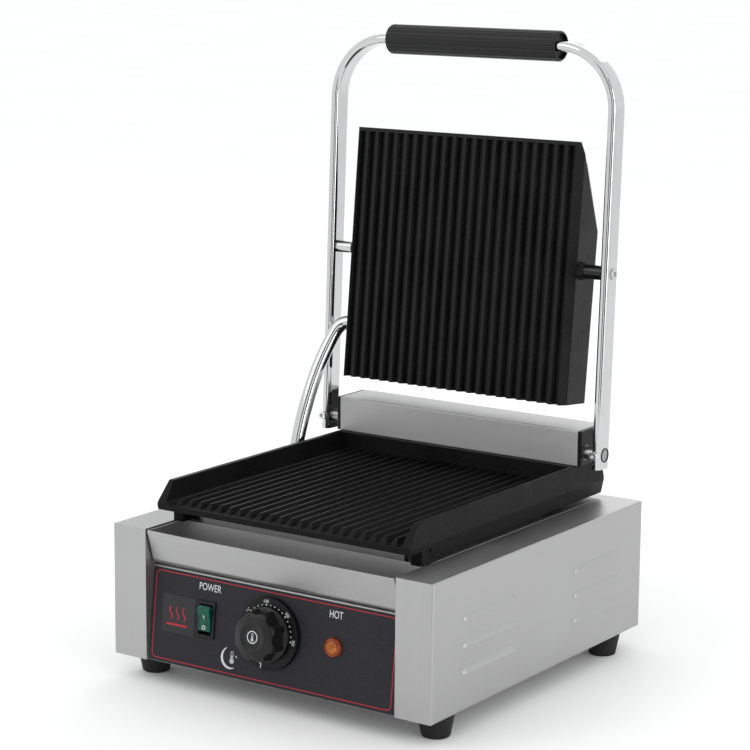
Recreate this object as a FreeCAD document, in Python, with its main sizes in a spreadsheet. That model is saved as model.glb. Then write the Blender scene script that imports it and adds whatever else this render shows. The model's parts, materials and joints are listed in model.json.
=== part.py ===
import FreeCAD, Part
import math
import os
from types import SimpleNamespace

import Sketcher

# A single contact grill (panini press), open, with its lid leaning back on its stop.
# +X is the operator's right when facing the front, +Y runs to the back, +Z is up, in millimetres.
# The origin is on the floor, under the middle of the object.

SIZES = {
    # housing
    "base_width": 290, "base_depth": 300, "base_height": 102, "foot_height": 18.3,
    "front_y": -143.75, "sheet": 1.2, "pillar_width": 31.6, "pillar_return": 13, "gap": 0.3,
    # louvres
    "louvre_length": 75, "louvre_radius": 7, "louvre_rise": 2.4, "louvre_step": 19.5,
    # control panel, which leans back
    "panel_lean": 6.4, "panel_setback": 1.2, "panel_height": 73.6, "overlay": 0.4,
    "switch_x": -59.5, "rocker_tilt": 10, "lamp_x": 57, "control_height": 40, "dial_radius": 27,
    # drip tray
    "tray_width": 224, "tray_depth": 43.5, "tray_height": 27.5,
    # lower plate
    "plate_width": 230, "plate_front": 16, "plate_back": 291, "wall_height": 32.8,
    "floor_height": 16.5, "rib_height": 4.5, "rib_pitch": 9.3, "cook_depth": 229,
    # hinge
    "hinge_setback": 258.6, "hinge_height": 163.1, "axle_radius": 5, "block_width": 232.6,
    # handle
    "arm_x": 129, "arm_lean": 2.4, "arm_length": 312.5, "bend_radius": 48,
    "tube_wide": 17.5, "tube_thick": 7.8, "tube_wall": 1.5, "grip_length": 157, "grip_radius": 11.8,
    # upper plate, which leans back a little more than the arms
    "pivot_setback": 264.2, "pivot_height": 304.3, "pivot_radius": 3, "lid_lean": 5.7, "lid_width": 210,
    "lid_height": 203.5, "lid_below": 104.5, "face_depth": 15.3,
}

doc = FreeCAD.newDocument("contact_grill")
sheet = doc.addObject("Spreadsheet::Sheet", "Sizes")
for row, (alias, number) in enumerate(SIZES.items(), start=1):
    sheet.set(f"A{row}", alias)
    sheet.set(f"B{row}", str(number))
    sheet.setAlias(f"B{row}", alias)
doc.recompute()


class Size:
    """A number of the sheet, or a sum made of them, with the formula that gives it."""

    def __init__(self, number, text):
        self.number = number
        self.text = text

    def join(self, other, sign, number):
        return Size(number, f"({self.text} {sign} {as_size(other).text})")

    def __add__(self, other):
        return self.join(other, "+", self.number + as_size(other).number)

    def __sub__(self, other):
        return self.join(other, "-", self.number - as_size(other).number)

    def __mul__(self, other):
        return self.join(other, "*", self.number * as_size(other).number)

    def __truediv__(self, other):
        return self.join(other, "/", self.number / as_size(other).number)

    def __neg__(self):
        return as_size(0) - self

    def __radd__(self, other):
        return as_size(other) + self

    def __rsub__(self, other):
        return as_size(other) - self

    def __rmul__(self, other):
        return as_size(other) * self


def as_size(thing):
    """Take a plain number or a Size as a Size."""
    return thing if isinstance(thing, Size) else Size(float(thing), f"({float(thing)})")


s = SimpleNamespace(**{alias: Size(float(number), f"Sizes.{alias}") for alias, number in SIZES.items()})

half_width = s.base_width / 2
inner_x = half_width - s.pillar_width
front = s.front_y
back = front + s.base_depth
under = s.foot_height
deck = s.foot_height + s.base_height
plate_floor = deck + s.floor_height
plate_low = deck + 4
plate_middle = deck + 12
hinge_y = front + s.hinge_setback
hinge_z = s.hinge_height
OVERLAP = 10

X_AXIS = FreeCAD.Vector(1, 0, 0)
Y_AXIS = FreeCAD.Vector(0, 1, 0)
Z_AXIS = FreeCAD.Vector(0, 0, 1)

nodes = []


def node(thing, label):
    """Give a finished sub-part the name of its file."""
    thing.Label = label
    nodes.append(thing)
    return thing


def bind(thing, path, size):
    """Set a property from a Size, so that it follows the sheet."""
    thing.setExpression(path, as_size(size).text)


def place(thing, where, axis=None, angle=0):
    """Put a thing at a point, turned about an axis; both follow the sheet."""
    if axis is not None:
        turn = FreeCAD.Rotation(axis, as_size(angle).number)
        thing.Placement = FreeCAD.Placement(FreeCAD.Vector(0, 0, 0), turn)
    for letter, size in zip("xyz", where):
        bind(thing, f"Placement.Base.{letter}", size)
    return thing


def box(name, lengths, corner):
    thing = doc.addObject("Part::Box", name)
    for side, size in zip(("Length", "Width", "Height"), lengths):
        bind(thing, side, size)
    return place(thing, corner)


AXIS_TURNS = {"z": (None, 0), "x": (Y_AXIS, 90), "y": (X_AXIS, -90)}


def cylinder(name, radius, height, base, along="z"):
    """A cylinder from its base along +X, +Y or +Z."""
    thing = doc.addObject("Part::Cylinder", name)
    bind(thing, "Radius", radius)
    bind(thing, "Height", height)
    axis, angle = AXIS_TURNS[along]
    return place(thing, base, axis, angle)


def fuse(name, things):
    thing = doc.addObject("Part::MultiFuse", name)
    thing.Shapes = things
    return thing


def cut(name, base, tools):
    """Take one or more tools away from a base."""
    thing = doc.addObject("Part::Cut", name)
    thing.Base = base
    thing.Tool = tools[0] if len(tools) == 1 else fuse(name + "_tools", tools)
    return thing


def common(name, first, second):
    thing = doc.addObject("Part::Common", name)
    thing.Base = first
    thing.Tool = second
    return thing


def group(name, things):
    """Several separate solids kept as one node."""
    thing = doc.addObject("Part::Compound", name)
    thing.Links = things
    return thing


def rounded(name, base, radius, chosen):
    """Round the straight edges of a primitive or boolean that a test of their middle picks."""
    doc.recompute()
    thing = doc.addObject("Part::Fillet", name)
    thing.Base = base
    picked = [i for i, edge in enumerate(base.Shape.Edges, start=1) if chosen(edge)]
    thing.Edges = [(i, radius, radius) for i in picked]
    return thing


def body(name):
    return doc.addObject("PartDesign::Body", name)


def sketch(owner, plane, name, offset=None):
    """A sketch on one of the body's own planes, moved along the plane's normal."""
    thing = owner.newObject("Sketcher::SketchObject", name)
    support = [feature for feature in owner.Origin.OriginFeatures if feature.Role == plane][0]
    thing.AttachmentSupport = [(support, "")]
    thing.MapMode = "FlatFace"
    if offset is not None:
        bind(thing, "AttachmentOffset.Base.z", offset)
    return thing


def fix(drawing, kind, which, size):
    """Give a sketch point or circle one size that follows the sheet."""
    index = drawing.addConstraint(Sketcher.Constraint(kind, *which, as_size(size).number))
    drawing.setExpression(f"Constraints[{index}]", as_size(size).text)


def outline(drawing, corners):
    """A closed outline of straight lines through corners given as pairs of sizes."""
    points = [FreeCAD.Vector(as_size(a).number, as_size(b).number, 0) for a, b in corners]
    count = len(points)
    first = drawing.GeometryCount
    for i in range(count):
        drawing.addGeometry(Part.LineSegment(points[i], points[(i + 1) % count]), False)
    for i in range(count):
        drawing.addConstraint(
            Sketcher.Constraint("Coincident", first + i, 2, first + (i + 1) % count, 1))
    for i, (a, b) in enumerate(corners):
        fix(drawing, "DistanceX", (-1, 1, first + i, 1), a)
        fix(drawing, "DistanceY", (-1, 1, first + i, 1), b)


def rectangle(drawing, low, high):
    outline(drawing, [low, (high[0], low[1]), high, (low[0], high[1])])


def circle(drawing, centre, radius):
    where = FreeCAD.Vector(as_size(centre[0]).number, as_size(centre[1]).number, 0)
    index = drawing.addGeometry(Part.Circle(where, Z_AXIS, as_size(radius).number), False)
    fix(drawing, "DistanceX", (-1, 1, index, 3), centre[0])
    fix(drawing, "DistanceY", (-1, 1, index, 3), centre[1])
    fix(drawing, "Radius", (index,), radius)


def pad(owner, drawing, name, length, middle=False, back_way=False):
    thing = owner.newObject("PartDesign::Pad", name)
    thing.Profile = drawing
    thing.Midplane = middle
    thing.Reversed = back_way
    bind(thing, "Length", length)
    doc.recompute()
    return thing


def pocket(owner, drawing, name, length=None, middle=False, back_way=False):
    """Cut a sketch into the body, to a depth or right through; it must remove material."""
    before = owner.Shape.Volume
    thing = owner.newObject("PartDesign::Pocket", name)
    thing.Profile = drawing
    thing.Midplane = middle
    thing.Reversed = back_way
    if length is None:
        thing.Type = "ThroughAll"
    else:
        bind(thing, "Length", length)
    doc.recompute()
    if owner.Shape.Volume > before - 0.01:
        raise RuntimeError(f"{name} removed nothing")
    return thing


def smooth(owner, name, radius, chosen, kind="PartDesign::Fillet"):
    """Round or chamfer the edges of the body's last feature that a test picks."""
    last = owner.Tip
    picked = [f"Edge{i}" for i, edge in enumerate(last.Shape.Edges, start=1) if chosen(edge)]
    thing = owner.newObject(kind, name)
    thing.Base = (last, picked)
    bind(thing, "Radius" if kind.endswith("Fillet") else "Size", radius)
    doc.recompute()
    return thing


def repeat(owner, feature, name, axis, length, count):
    """Copies of a feature in a row; length is the distance from the first to the last."""
    thing = owner.newObject("PartDesign::LinearPattern", name)
    thing.Originals = [feature]
    thing.Direction = axis
    thing.Occurrences = count
    bind(thing, "Length", length)
    owner.Tip = thing
    doc.recompute()
    return thing


def turn_copies(owner, feature, name, axis, count):
    thing = owner.newObject("PartDesign::PolarPattern", name)
    thing.Originals = [feature]
    thing.Axis = axis
    thing.Angle = 360
    thing.Occurrences = count
    owner.Tip = thing
    doc.recompute()
    return thing


def middle_of(edge):
    return edge.BoundBox.Center


def runs_along(edge, letter):
    """True for a straight edge that lies along one axis."""
    if edge.Curve.TypeId != "Part::GeomLine":
        return False
    return abs(getattr(edge.Curve.Direction, letter)) > 0.999


def screw(name, head_radius, head_height, shank_radius, length, base, axis, angle):
    """A socket-head screw: its head stands on the base point and its shank runs below it."""
    head = doc.addObject("Part::Cylinder", name + "_head")
    head.Radius = head_radius
    head.Height = head_height
    shank = doc.addObject("Part::Cylinder", name + "_shank")
    shank.Radius = shank_radius
    shank.Height = length
    shank.Placement.Base = FreeCAD.Vector(0, 0, -length)
    socket = doc.addObject("Part::Prism", name + "_socket")
    socket.Polygon = 6
    socket.Circumradius = head_radius * 0.55
    socket.Height = head_height
    socket.Placement.Base = FreeCAD.Vector(0, 0, head_height * 0.4)
    return place(cut(name, fuse(name + "_solid", [head, shank]), [socket]), base, axis, angle)


def tube_along(points, radius, hollow=0):
    """A round tube along straight runs joined by tangent arcs, as large as the runs allow."""
    edges = []
    last = points[0]
    for before, here, after in zip(points, points[1:], points[2:]):
        way_in = (here - before).normalize()
        way_out = (after - here).normalize()
        turn = way_in.getAngle(way_out)
        shorter = min(here.distanceToPoint(before), here.distanceToPoint(after))
        reach = 0.45 * shorter
        bend = reach / math.tan(turn / 2)
        start = here - way_in * reach
        end = here + way_out * reach
        inward = (way_out - way_in).normalize()
        centre = here + inward * (bend / math.cos(turn / 2))
        middle = centre - inward * bend
        edges.append(Part.LineSegment(last, start).toShape())
        edges.append(Part.Arc(start, middle, end).toShape())
        last = end
    edges.append(Part.LineSegment(last, points[-1]).toShape())
    path = Part.Wire(edges)
    heading = points[1] - points[0]

    def swept(size):
        ring = Part.Wire([Part.makeCircle(size, points[0], heading)])
        return path.makePipeShell([ring], True, True)

    solid = swept(radius)
    if abs(solid.Volume / (math.pi * radius ** 2 * path.Length) - 1) > 0.01:
        raise RuntimeError("a tube does not have its section's volume")
    return solid.cut(swept(hollow)) if hollow else solid


def feature(name, shape):
    thing = doc.addObject("Part::Feature", name)
    thing.Shape = shape
    return thing


# ---------------------------------------------------------------- housing


def side_panels():
    """Folded side panels: outer wall, top and bottom flanges, and a front pillar with a return."""
    outer = box("side_outer", (s.pillar_width, s.base_depth, s.base_height), (inner_x, front, under))
    far = half_width.number - 0.01
    outer = rounded("side_rounded", outer, 1.6, lambda edge: middle_of(edge).x > far)
    hollow = box(
        "side_hollow",
        (s.pillar_width - s.sheet + OVERLAP, s.base_depth - s.sheet * 2, s.base_height - s.sheet * 2),
        (inner_x - OVERLAP, front + s.sheet, under + s.sheet))
    shell = cut("side_shell", outer, [hollow])
    leg = box(
        "side_leg", (s.sheet, s.pillar_return, s.base_height - s.sheet), (inner_x, front, under + s.sheet / 2))
    # Each louvre is a half capsule pressed out of the wall and open along its lower side.
    centre_x = half_width + s.louvre_rise - s.louvre_radius
    skins = []
    voids = []
    for group_start in (37, 193):
        for step in range(3):
            low_y = front + group_start + s.louvre_radius
            low_z = under + 27 + s.louvre_step * step
            for kind, radius in (("skin", s.louvre_radius), ("void", s.louvre_radius - 1)):
                name = f"louvre_{kind}_{group_start}_{step}"
                run = s.louvre_length - s.louvre_radius * 2
                barrel = doc.addObject("Part::Cylinder", name)
                bind(barrel, "Radius", radius)
                bind(barrel, "Height", run)
                barrel.Angle = 180
                place(barrel, (centre_x, low_y + run, low_z), X_AXIS, 90)
                ends = []
                for end, end_y in enumerate((low_y, low_y + run)):
                    ball = doc.addObject("Part::Sphere", f"{name}_end_{end}")
                    bind(ball, "Radius", radius)
                    ball.Angle1 = 0
                    ends.append(place(ball, (centre_x, end_y, low_z)))
                (skins if kind == "skin" else voids).extend([barrel] + ends)
    slab = box(
        "louvre_slab", (s.sheet + OVERLAP, s.base_depth, s.base_height),
        (half_width - s.sheet, front, under))
    raised = common("louvre_raised", fuse("louvre_skins", skins), slab)
    right = node(cut("side_right", fuse("side_right_solid", [shell, leg, raised]), voids), "side_panel_right")
    left = doc.addObject("Part::Mirroring", "side_left")
    left.Source = right
    left.Normal = X_AXIS
    node(left, "side_panel_left")


def deck_plate():
    """The top sheet between the side panels, with the opening under the lower plate."""
    top = body("deck")
    drawing = sketch(top, "XY_Plane", "deck_outline", deck - s.sheet)
    rectangle(drawing, (s.gap - inner_x, front + 46), (inner_x - s.gap, back - s.sheet - s.gap))
    rectangle(drawing, (-98, front + 62), (98, front + 236))
    circle(drawing, (-60, front + 264), 5)
    pad(top, drawing, "deck_sheet", s.sheet)
    flange = sketch(top, "XZ_Plane", "deck_flange_outline", -(front + 46))
    rectangle(flange, (s.gap - inner_x, deck - 12), (inner_x - s.gap, deck - s.sheet / 2))
    pad(top, flange, "deck_flange", s.sheet, back_way=True)
    node(top, "deck_plate")


def back_panel():
    """The rear sheet, with the cord opening and two rows of vent slots."""
    rear = body("rear")
    drawing = sketch(rear, "XZ_Plane", "rear_outline", -(back - s.sheet))
    rectangle(drawing, (s.gap - inner_x, under + s.sheet + s.gap), (inner_x - s.gap, deck - s.gap))
    circle(drawing, (75, under + 30), 8)
    for corner_x in (-106, 106):
        for corner_z in (10, 92):
            circle(drawing, (corner_x, under + corner_z), 1.6)
    pad(rear, drawing, "rear_sheet", s.sheet, back_way=True)
    slot = sketch(rear, "XZ_Plane", "rear_slot_outline", -(back - s.sheet))
    for row in range(2):
        rectangle(slot, (-78, under + 52 + row * 18), (-74, under + 64 + row * 18))
    slots = pocket(rear, slot, "rear_slot", middle=True)
    repeat(rear, slots, "rear_slots", (slot, ["H_Axis"]), 104, 14)
    node(rear, "back_panel")


def bottom_plate():
    """The underside sheet, lying on the side panels' lower flanges, with cooling slots."""
    sole = body("sole")
    drawing = sketch(sole, "XY_Plane", "sole_outline", under + s.sheet)
    rectangle(drawing, (s.gap - inner_x - 20, front + 16), (inner_x + 20 - s.gap, back - 4))
    pad(sole, drawing, "sole_sheet", s.sheet)
    slot = sketch(sole, "XY_Plane", "sole_slot_outline", under)
    rectangle(slot, (-60, front + 90), (60, front + 95))
    slots = pocket(sole, slot, "sole_slot", middle=True)
    repeat(sole, slots, "sole_slots", (slot, ["V_Axis"]), 112, 8)
    node(sole, "bottom_plate")


def feet():
    """Four tapered rubber feet, each with its screw up into the housing."""
    rubber = []
    screws = []
    for side in (-1, 1):
        for depth in (30, 270):
            name = f"foot_{'right' if side > 0 else 'left'}_{depth}"
            cone = doc.addObject("Part::Cone", name + "_cone")
            cone.Radius1 = 10.4
            cone.Radius2 = 14
            bind(cone, "Height", s.foot_height)
            place(cone, (129 * side, front + depth, 0))
            tread = rounded(name + "_round", cone, 1.8, lambda edge: middle_of(edge).z < 1)
            bore = cylinder(name + "_bore", 2.3, s.foot_height + 2, (129 * side, front + depth, -1))
            recess = cylinder(name + "_recess", 5, 10, (129 * side, front + depth, -1))
            rubber.append(cut(name, tread, [bore, recess]))
            screws.append(screw(
                name + "_screw", 4, 3, 2, 9.2, (129 * side, front + depth, 9), X_AXIS, 180))
    node(group("feet_group", rubber), "rubber_feet")
    node(group("foot_screw_group", screws), "foot_screws")


# ---------------------------------------------------------------- control panel
# The controls are drawn on the panel: x across, y up along it and z out of its face.


def on_panel(thing, where=(0, 0, 0)):
    """Stand a sub-part on the leaning panel, at a point given in the panel's own directions."""
    lean = math.radians(s.panel_lean.number)
    across, up, out = (as_size(size) for size in where)
    base_y = front + s.panel_setback + up * math.sin(lean) - out * math.cos(lean)
    base_z = under + up * math.cos(lean) + out * math.sin(lean)
    return place(thing, (across, base_y, base_z), X_AXIS, 90 - s.panel_lean)


def panel_holes(drawing, ease):
    """The switch cut-out, the thermostat's hole and the lamp's hole."""
    rectangle(
        drawing, (s.switch_x - 7 - ease, s.control_height - 12.2 - ease),
        (s.switch_x + 7 + ease, s.control_height + 12.2 + ease))
    circle(drawing, (0, s.control_height), 5.5 + ease)
    circle(drawing, (s.lamp_x, s.control_height), 6.1 + ease)


def control_panel():
    """The sloping steel panel with a folded top edge, and the printed film on it."""
    plate = body("panel")
    drawing = sketch(plate, "XY_Plane", "panel_outline")
    rectangle(drawing, (s.gap - inner_x, 0.6), (inner_x - s.gap, s.panel_height))
    panel_holes(drawing, 0)
    pad(plate, drawing, "panel_sheet", s.sheet, back_way=True)
    fold = sketch(plate, "XZ_Plane", "panel_fold_outline", -s.panel_height)
    rectangle(fold, (s.gap - inner_x, -9), (inner_x - s.gap, -s.sheet / 2))
    pad(plate, fold, "panel_fold", s.sheet)
    top = s.panel_height.number - 0.01
    smooth(plate, "panel_bend", 0.9, lambda edge: (
        runs_along(edge, "x") and middle_of(edge).y > top and middle_of(edge).z > -0.01))
    node(on_panel(plate), "control_panel")

    film = body("film")
    drawing = sketch(film, "XY_Plane", "film_outline")
    rectangle(drawing, (1 - inner_x, 0.9), (inner_x - 1, s.panel_height - 1.2))
    panel_holes(drawing, 0.5)
    pad(film, drawing, "film_sheet", s.overlay)
    node(on_panel(film), "panel_overlay")

    label = body("label")
    drawing = sketch(label, "XY_Plane", "label_outline", s.overlay)
    rectangle(drawing, (-101.3, 24.6), (-70.5, 53.4))
    pad(label, drawing, "label_sheet", 0.3)
    smooth(label, "label_corners", 1.5, lambda edge: runs_along(edge, "z"))
    node(on_panel(label), "blank_label")


def power_switch():
    """A rocker switch: a black housing clipped in the panel and a rocker that tilts in it."""
    shell = body("switch")
    rim = sketch(shell, "XY_Plane", "switch_rim_outline", s.overlay)
    rectangle(rim, (-8.4, -14), (8.4, 14))
    pad(shell, rim, "switch_rim", 1.6)
    smooth(shell, "switch_rim_round", 0.7, lambda edge: middle_of(edge).z > 1.9)
    trunk = sketch(shell, "XY_Plane", "switch_trunk_outline", s.overlay)
    rectangle(trunk, (-6.8, -12), (6.8, 12))
    pad(shell, trunk, "switch_trunk", 22, back_way=True)
    well = sketch(shell, "XY_Plane", "switch_well_outline", s.overlay + 2)
    rectangle(well, (-6, -11.4), (6, 11.4))
    pocket(shell, well, "switch_well", 14)
    tabs = sketch(shell, "XY_Plane", "switch_tab_outline", s.overlay - 21)
    for height in (-8, 0, 8):
        rectangle(tabs, (-3.2, height - 0.4), (3.2, height + 0.4))
    pad(shell, tabs, "switch_tabs", 9, back_way=True)
    node(on_panel(shell, (s.switch_x, s.control_height, 0)), "switch_housing")

    rocker = body("rocker")
    side = sketch(rocker, "YZ_Plane", "rocker_outline")
    outline(side, [
        (-10.6, -0.4), (-7.6, 3.4), (0, 1.4), (7.6, 3.4), (10.6, -0.4), (9.6, -2), (6, -7), (-6, -7), (-9.6, -2)])
    pad(rocker, side, "rocker_block", 11, middle=True)
    smooth(rocker, "rocker_round", 0.5, lambda edge: middle_of(edge).z > 1)
    # At rest the lower end is pressed in.
    on_panel(rocker, (s.switch_x, s.control_height, 1.4))
    rocker.Placement.Rotation = FreeCAD.Rotation(X_AXIS, (90 - s.panel_lean + s.rocker_tilt).number)
    node(rocker, "switch_rocker")


def thermostat():
    """The thermostat behind the panel, its fixed dial plate, and the knob on its shaft."""
    dial = body("dial")
    drawing = sketch(dial, "XY_Plane", "dial_outline", s.overlay)
    circle(drawing, (0, 0), s.dial_radius)
    circle(drawing, (0, 0), 6)
    pad(dial, drawing, "dial_disc", 4)
    smooth(dial, "dial_round", 0.8, lambda edge: middle_of(edge).z > 4.3 and edge.BoundBox.XLength > 20)
    node(on_panel(dial, (0, s.control_height, 0)), "dial_plate")

    knob = body("knob")
    half = sketch(knob, "XZ_Plane", "knob_outline")
    outline(half, [
        (0, 4.6), (20.3, 4.6), (20.4, 7.2), (19.4, 8), (18.6, 19.2), (17.4, 20.9), (11, 22.6), (10, 22.9),
        (9.4, 22.6), (0, 22.6)])
    turned = knob.newObject("PartDesign::Revolution", "knob_turned")
    turned.Profile = half
    turned.ReferenceAxis = (half, ["V_Axis"])
    turned.Angle = 360
    doc.recompute()
    scallop = sketch(knob, "XY_Plane", "knob_scallop_outline", 8)
    circle(scallop, (24.6, 0), 8)
    bite = pocket(knob, scallop, "knob_scallop", 20, back_way=True)
    turn_copies(knob, bite, "knob_scallops", (half, ["V_Axis"]), 8)
    bore = sketch(knob, "XY_Plane", "knob_bore_outline", 2)
    circle(bore, (0, 0), 3.05)
    pocket(knob, bore, "knob_bore", 14, back_way=True)
    node(on_panel(knob, (0, s.control_height, 0)), "thermostat_knob")

    shaft = body("shaft")
    drawing = sketch(shaft, "XY_Plane", "shaft_outline", -9.5)
    circle(drawing, (0, 0), 3)
    pad(shaft, drawing, "shaft_rod", 24)
    node(on_panel(shaft, (0, s.control_height, 0)), "thermostat_shaft")

    case = body("case")
    drawing = sketch(case, "XY_Plane", "case_outline", -s.sheet - 0.2)
    rectangle(drawing, (-18, -17), (18, 17))
    pad(case, drawing, "case_block", 26, back_way=True)
    neck = sketch(case, "XY_Plane", "case_neck_outline", -s.sheet - 0.2)
    circle(neck, (0, 0), 5.2)
    pad(case, neck, "case_neck", 3.2)
    bore = sketch(case, "XY_Plane", "case_bore_outline", 4)
    circle(bore, (0, 0), 3.1)
    pocket(case, bore, "case_bore", 14)
    node(on_panel(case, (0, s.control_height, 0)), "thermostat_body")


def indicator_lamp():
    """The amber lens and the lamp holder behind the panel."""
    lens = body("lens")
    half = sketch(lens, "XZ_Plane", "lens_outline")
    outline(half, [(0, 0.6), (7.2, 0.6), (7.2, 2.2), (6, 3.4), (3.4, 4.4), (0, 4.8)])
    turned = lens.newObject("PartDesign::Revolution", "lens_turned")
    turned.Profile = half
    turned.ReferenceAxis = (half, ["V_Axis"])
    turned.Angle = 360
    doc.recompute()
    node(on_panel(lens, (s.lamp_x, s.control_height, 0)), "lamp_lens")

    holder = body("holder")
    drawing = sketch(holder, "XY_Plane", "holder_outline", 0.5)
    circle(drawing, (0, 0), 5.9)
    pad(holder, drawing, "holder_barrel", 24, back_way=True)
    tabs = sketch(holder, "XY_Plane", "holder_tab_outline", -23)
    for height in (-3, 3):
        rectangle(tabs, (-1.5, height - 0.4), (1.5, height + 0.4))
    pad(holder, tabs, "holder_tabs", 7, back_way=True)
    node(on_panel(holder, (s.lamp_x, s.control_height, 0)), "lamp_holder")


# ---------------------------------------------------------------- inside the housing


def inner_parts():
    """The terminal block, the cord inlet bush and the thermostat's probe."""
    block = box("terminal_solid", (46, 20, 16), (40, back - 70, under + s.sheet * 2))
    wells = []
    for way in range(3):
        for side in range(2):
            name = f"terminal_well_{way}_{side}"
            wells.append(cylinder(name, 3, 9, (48 + 15 * way, back - 65 + 10 * side, under + 12)))
    node(cut("terminal_cut", block, wells), "terminal_block")

    barrel = cylinder("bush_barrel", 7.8, 14, (75, back - 8, under + 30), "y")
    flange = cylinder("bush_flange", 11, 3, (75, back, under + 30), "y")
    passage = cylinder("bush_passage", 4, 30, (75, back - 10, under + 30), "y")
    node(cut("bush_cut", fuse("bush_solid", [barrel, flange]), [passage]), "cord_inlet_bush")

    y0 = front.number
    z0 = deck.number
    probe_route = [
        (10, 33.4, -64), (10, 52, -62), (40, 55, -38), (70, 54, -15), (72, 66, -7), (72, 120, -7)]
    points = [FreeCAD.Vector(x, y0 + y, z0 + z) for x, y, z in probe_route]
    capillary = tube_along(points, 1.2)
    bulb = Part.makeCylinder(3, 80, points[-1], Y_AXIS)
    node(feature("probe", capillary.fuse(bulb)), "thermostat_probe")


def drip_tray():
    """The grease tray between the pillars: a trough with a sloping front and a raised back lip."""
    tray = body("tray")
    side = sketch(tray, "YZ_Plane", "tray_side")
    high = deck - 1
    low = deck - s.tray_height
    outline(side, [
        (front + 0.2, high), (front + 8, low), (front + s.tray_depth - 4, low),
        (front + s.tray_depth, high)])
    pad(tray, side, "tray_block", s.tray_width, middle=True)
    inside = sketch(tray, "YZ_Plane", "tray_inside_outline")
    outline(inside, [
        (front + 1, high + 1), (front + 1.3, high), (front + 8.8, low + 1),
        (front + s.tray_depth - 4.8, low + 1), (front + s.tray_depth - 1.1, high),
        (front + s.tray_depth - 1, high + 1)])
    pocket(tray, inside, "tray_inside", s.tray_width - 2, middle=True)
    smooth(tray, "tray_inside_soft", 4, lambda edge: (
        runs_along(edge, "x") and abs(middle_of(edge).z - low.number - 1) < 0.1
        and edge.Length < s.tray_width.number - 1))
    smooth(tray, "tray_soft", 5, lambda edge: (
        runs_along(edge, "x") and middle_of(edge).z < low.number + 0.1))
    lip = sketch(tray, "XZ_Plane", "tray_lip_outline", -(front + s.tray_depth))
    rectangle(lip, (-92, deck - 6), (92, deck + 4))
    pad(tray, lip, "tray_lip", 1)
    node(tray, "drip_tray")


def tray_shelf():
    """The ledge that the tray slides on, behind the control panel."""
    shelf = body("shelf")
    drawing = sketch(shelf, "XY_Plane", "shelf_outline", deck - s.tray_height - 1.6)
    rectangle(drawing, (s.gap - inner_x, front + 14), (inner_x - s.gap, front + 48.6))
    pad(shelf, drawing, "shelf_sheet", s.sheet)
    upright = sketch(shelf, "XZ_Plane", "shelf_back_outline", -(front + 47.4))
    rectangle(upright, (s.gap - inner_x, deck - s.tray_height - 1.6), (inner_x - s.gap, deck - 3))
    pad(shelf, upright, "shelf_back", s.sheet, back_way=True)
    node(shelf, "tray_shelf")


# ---------------------------------------------------------------- lower plate


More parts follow.
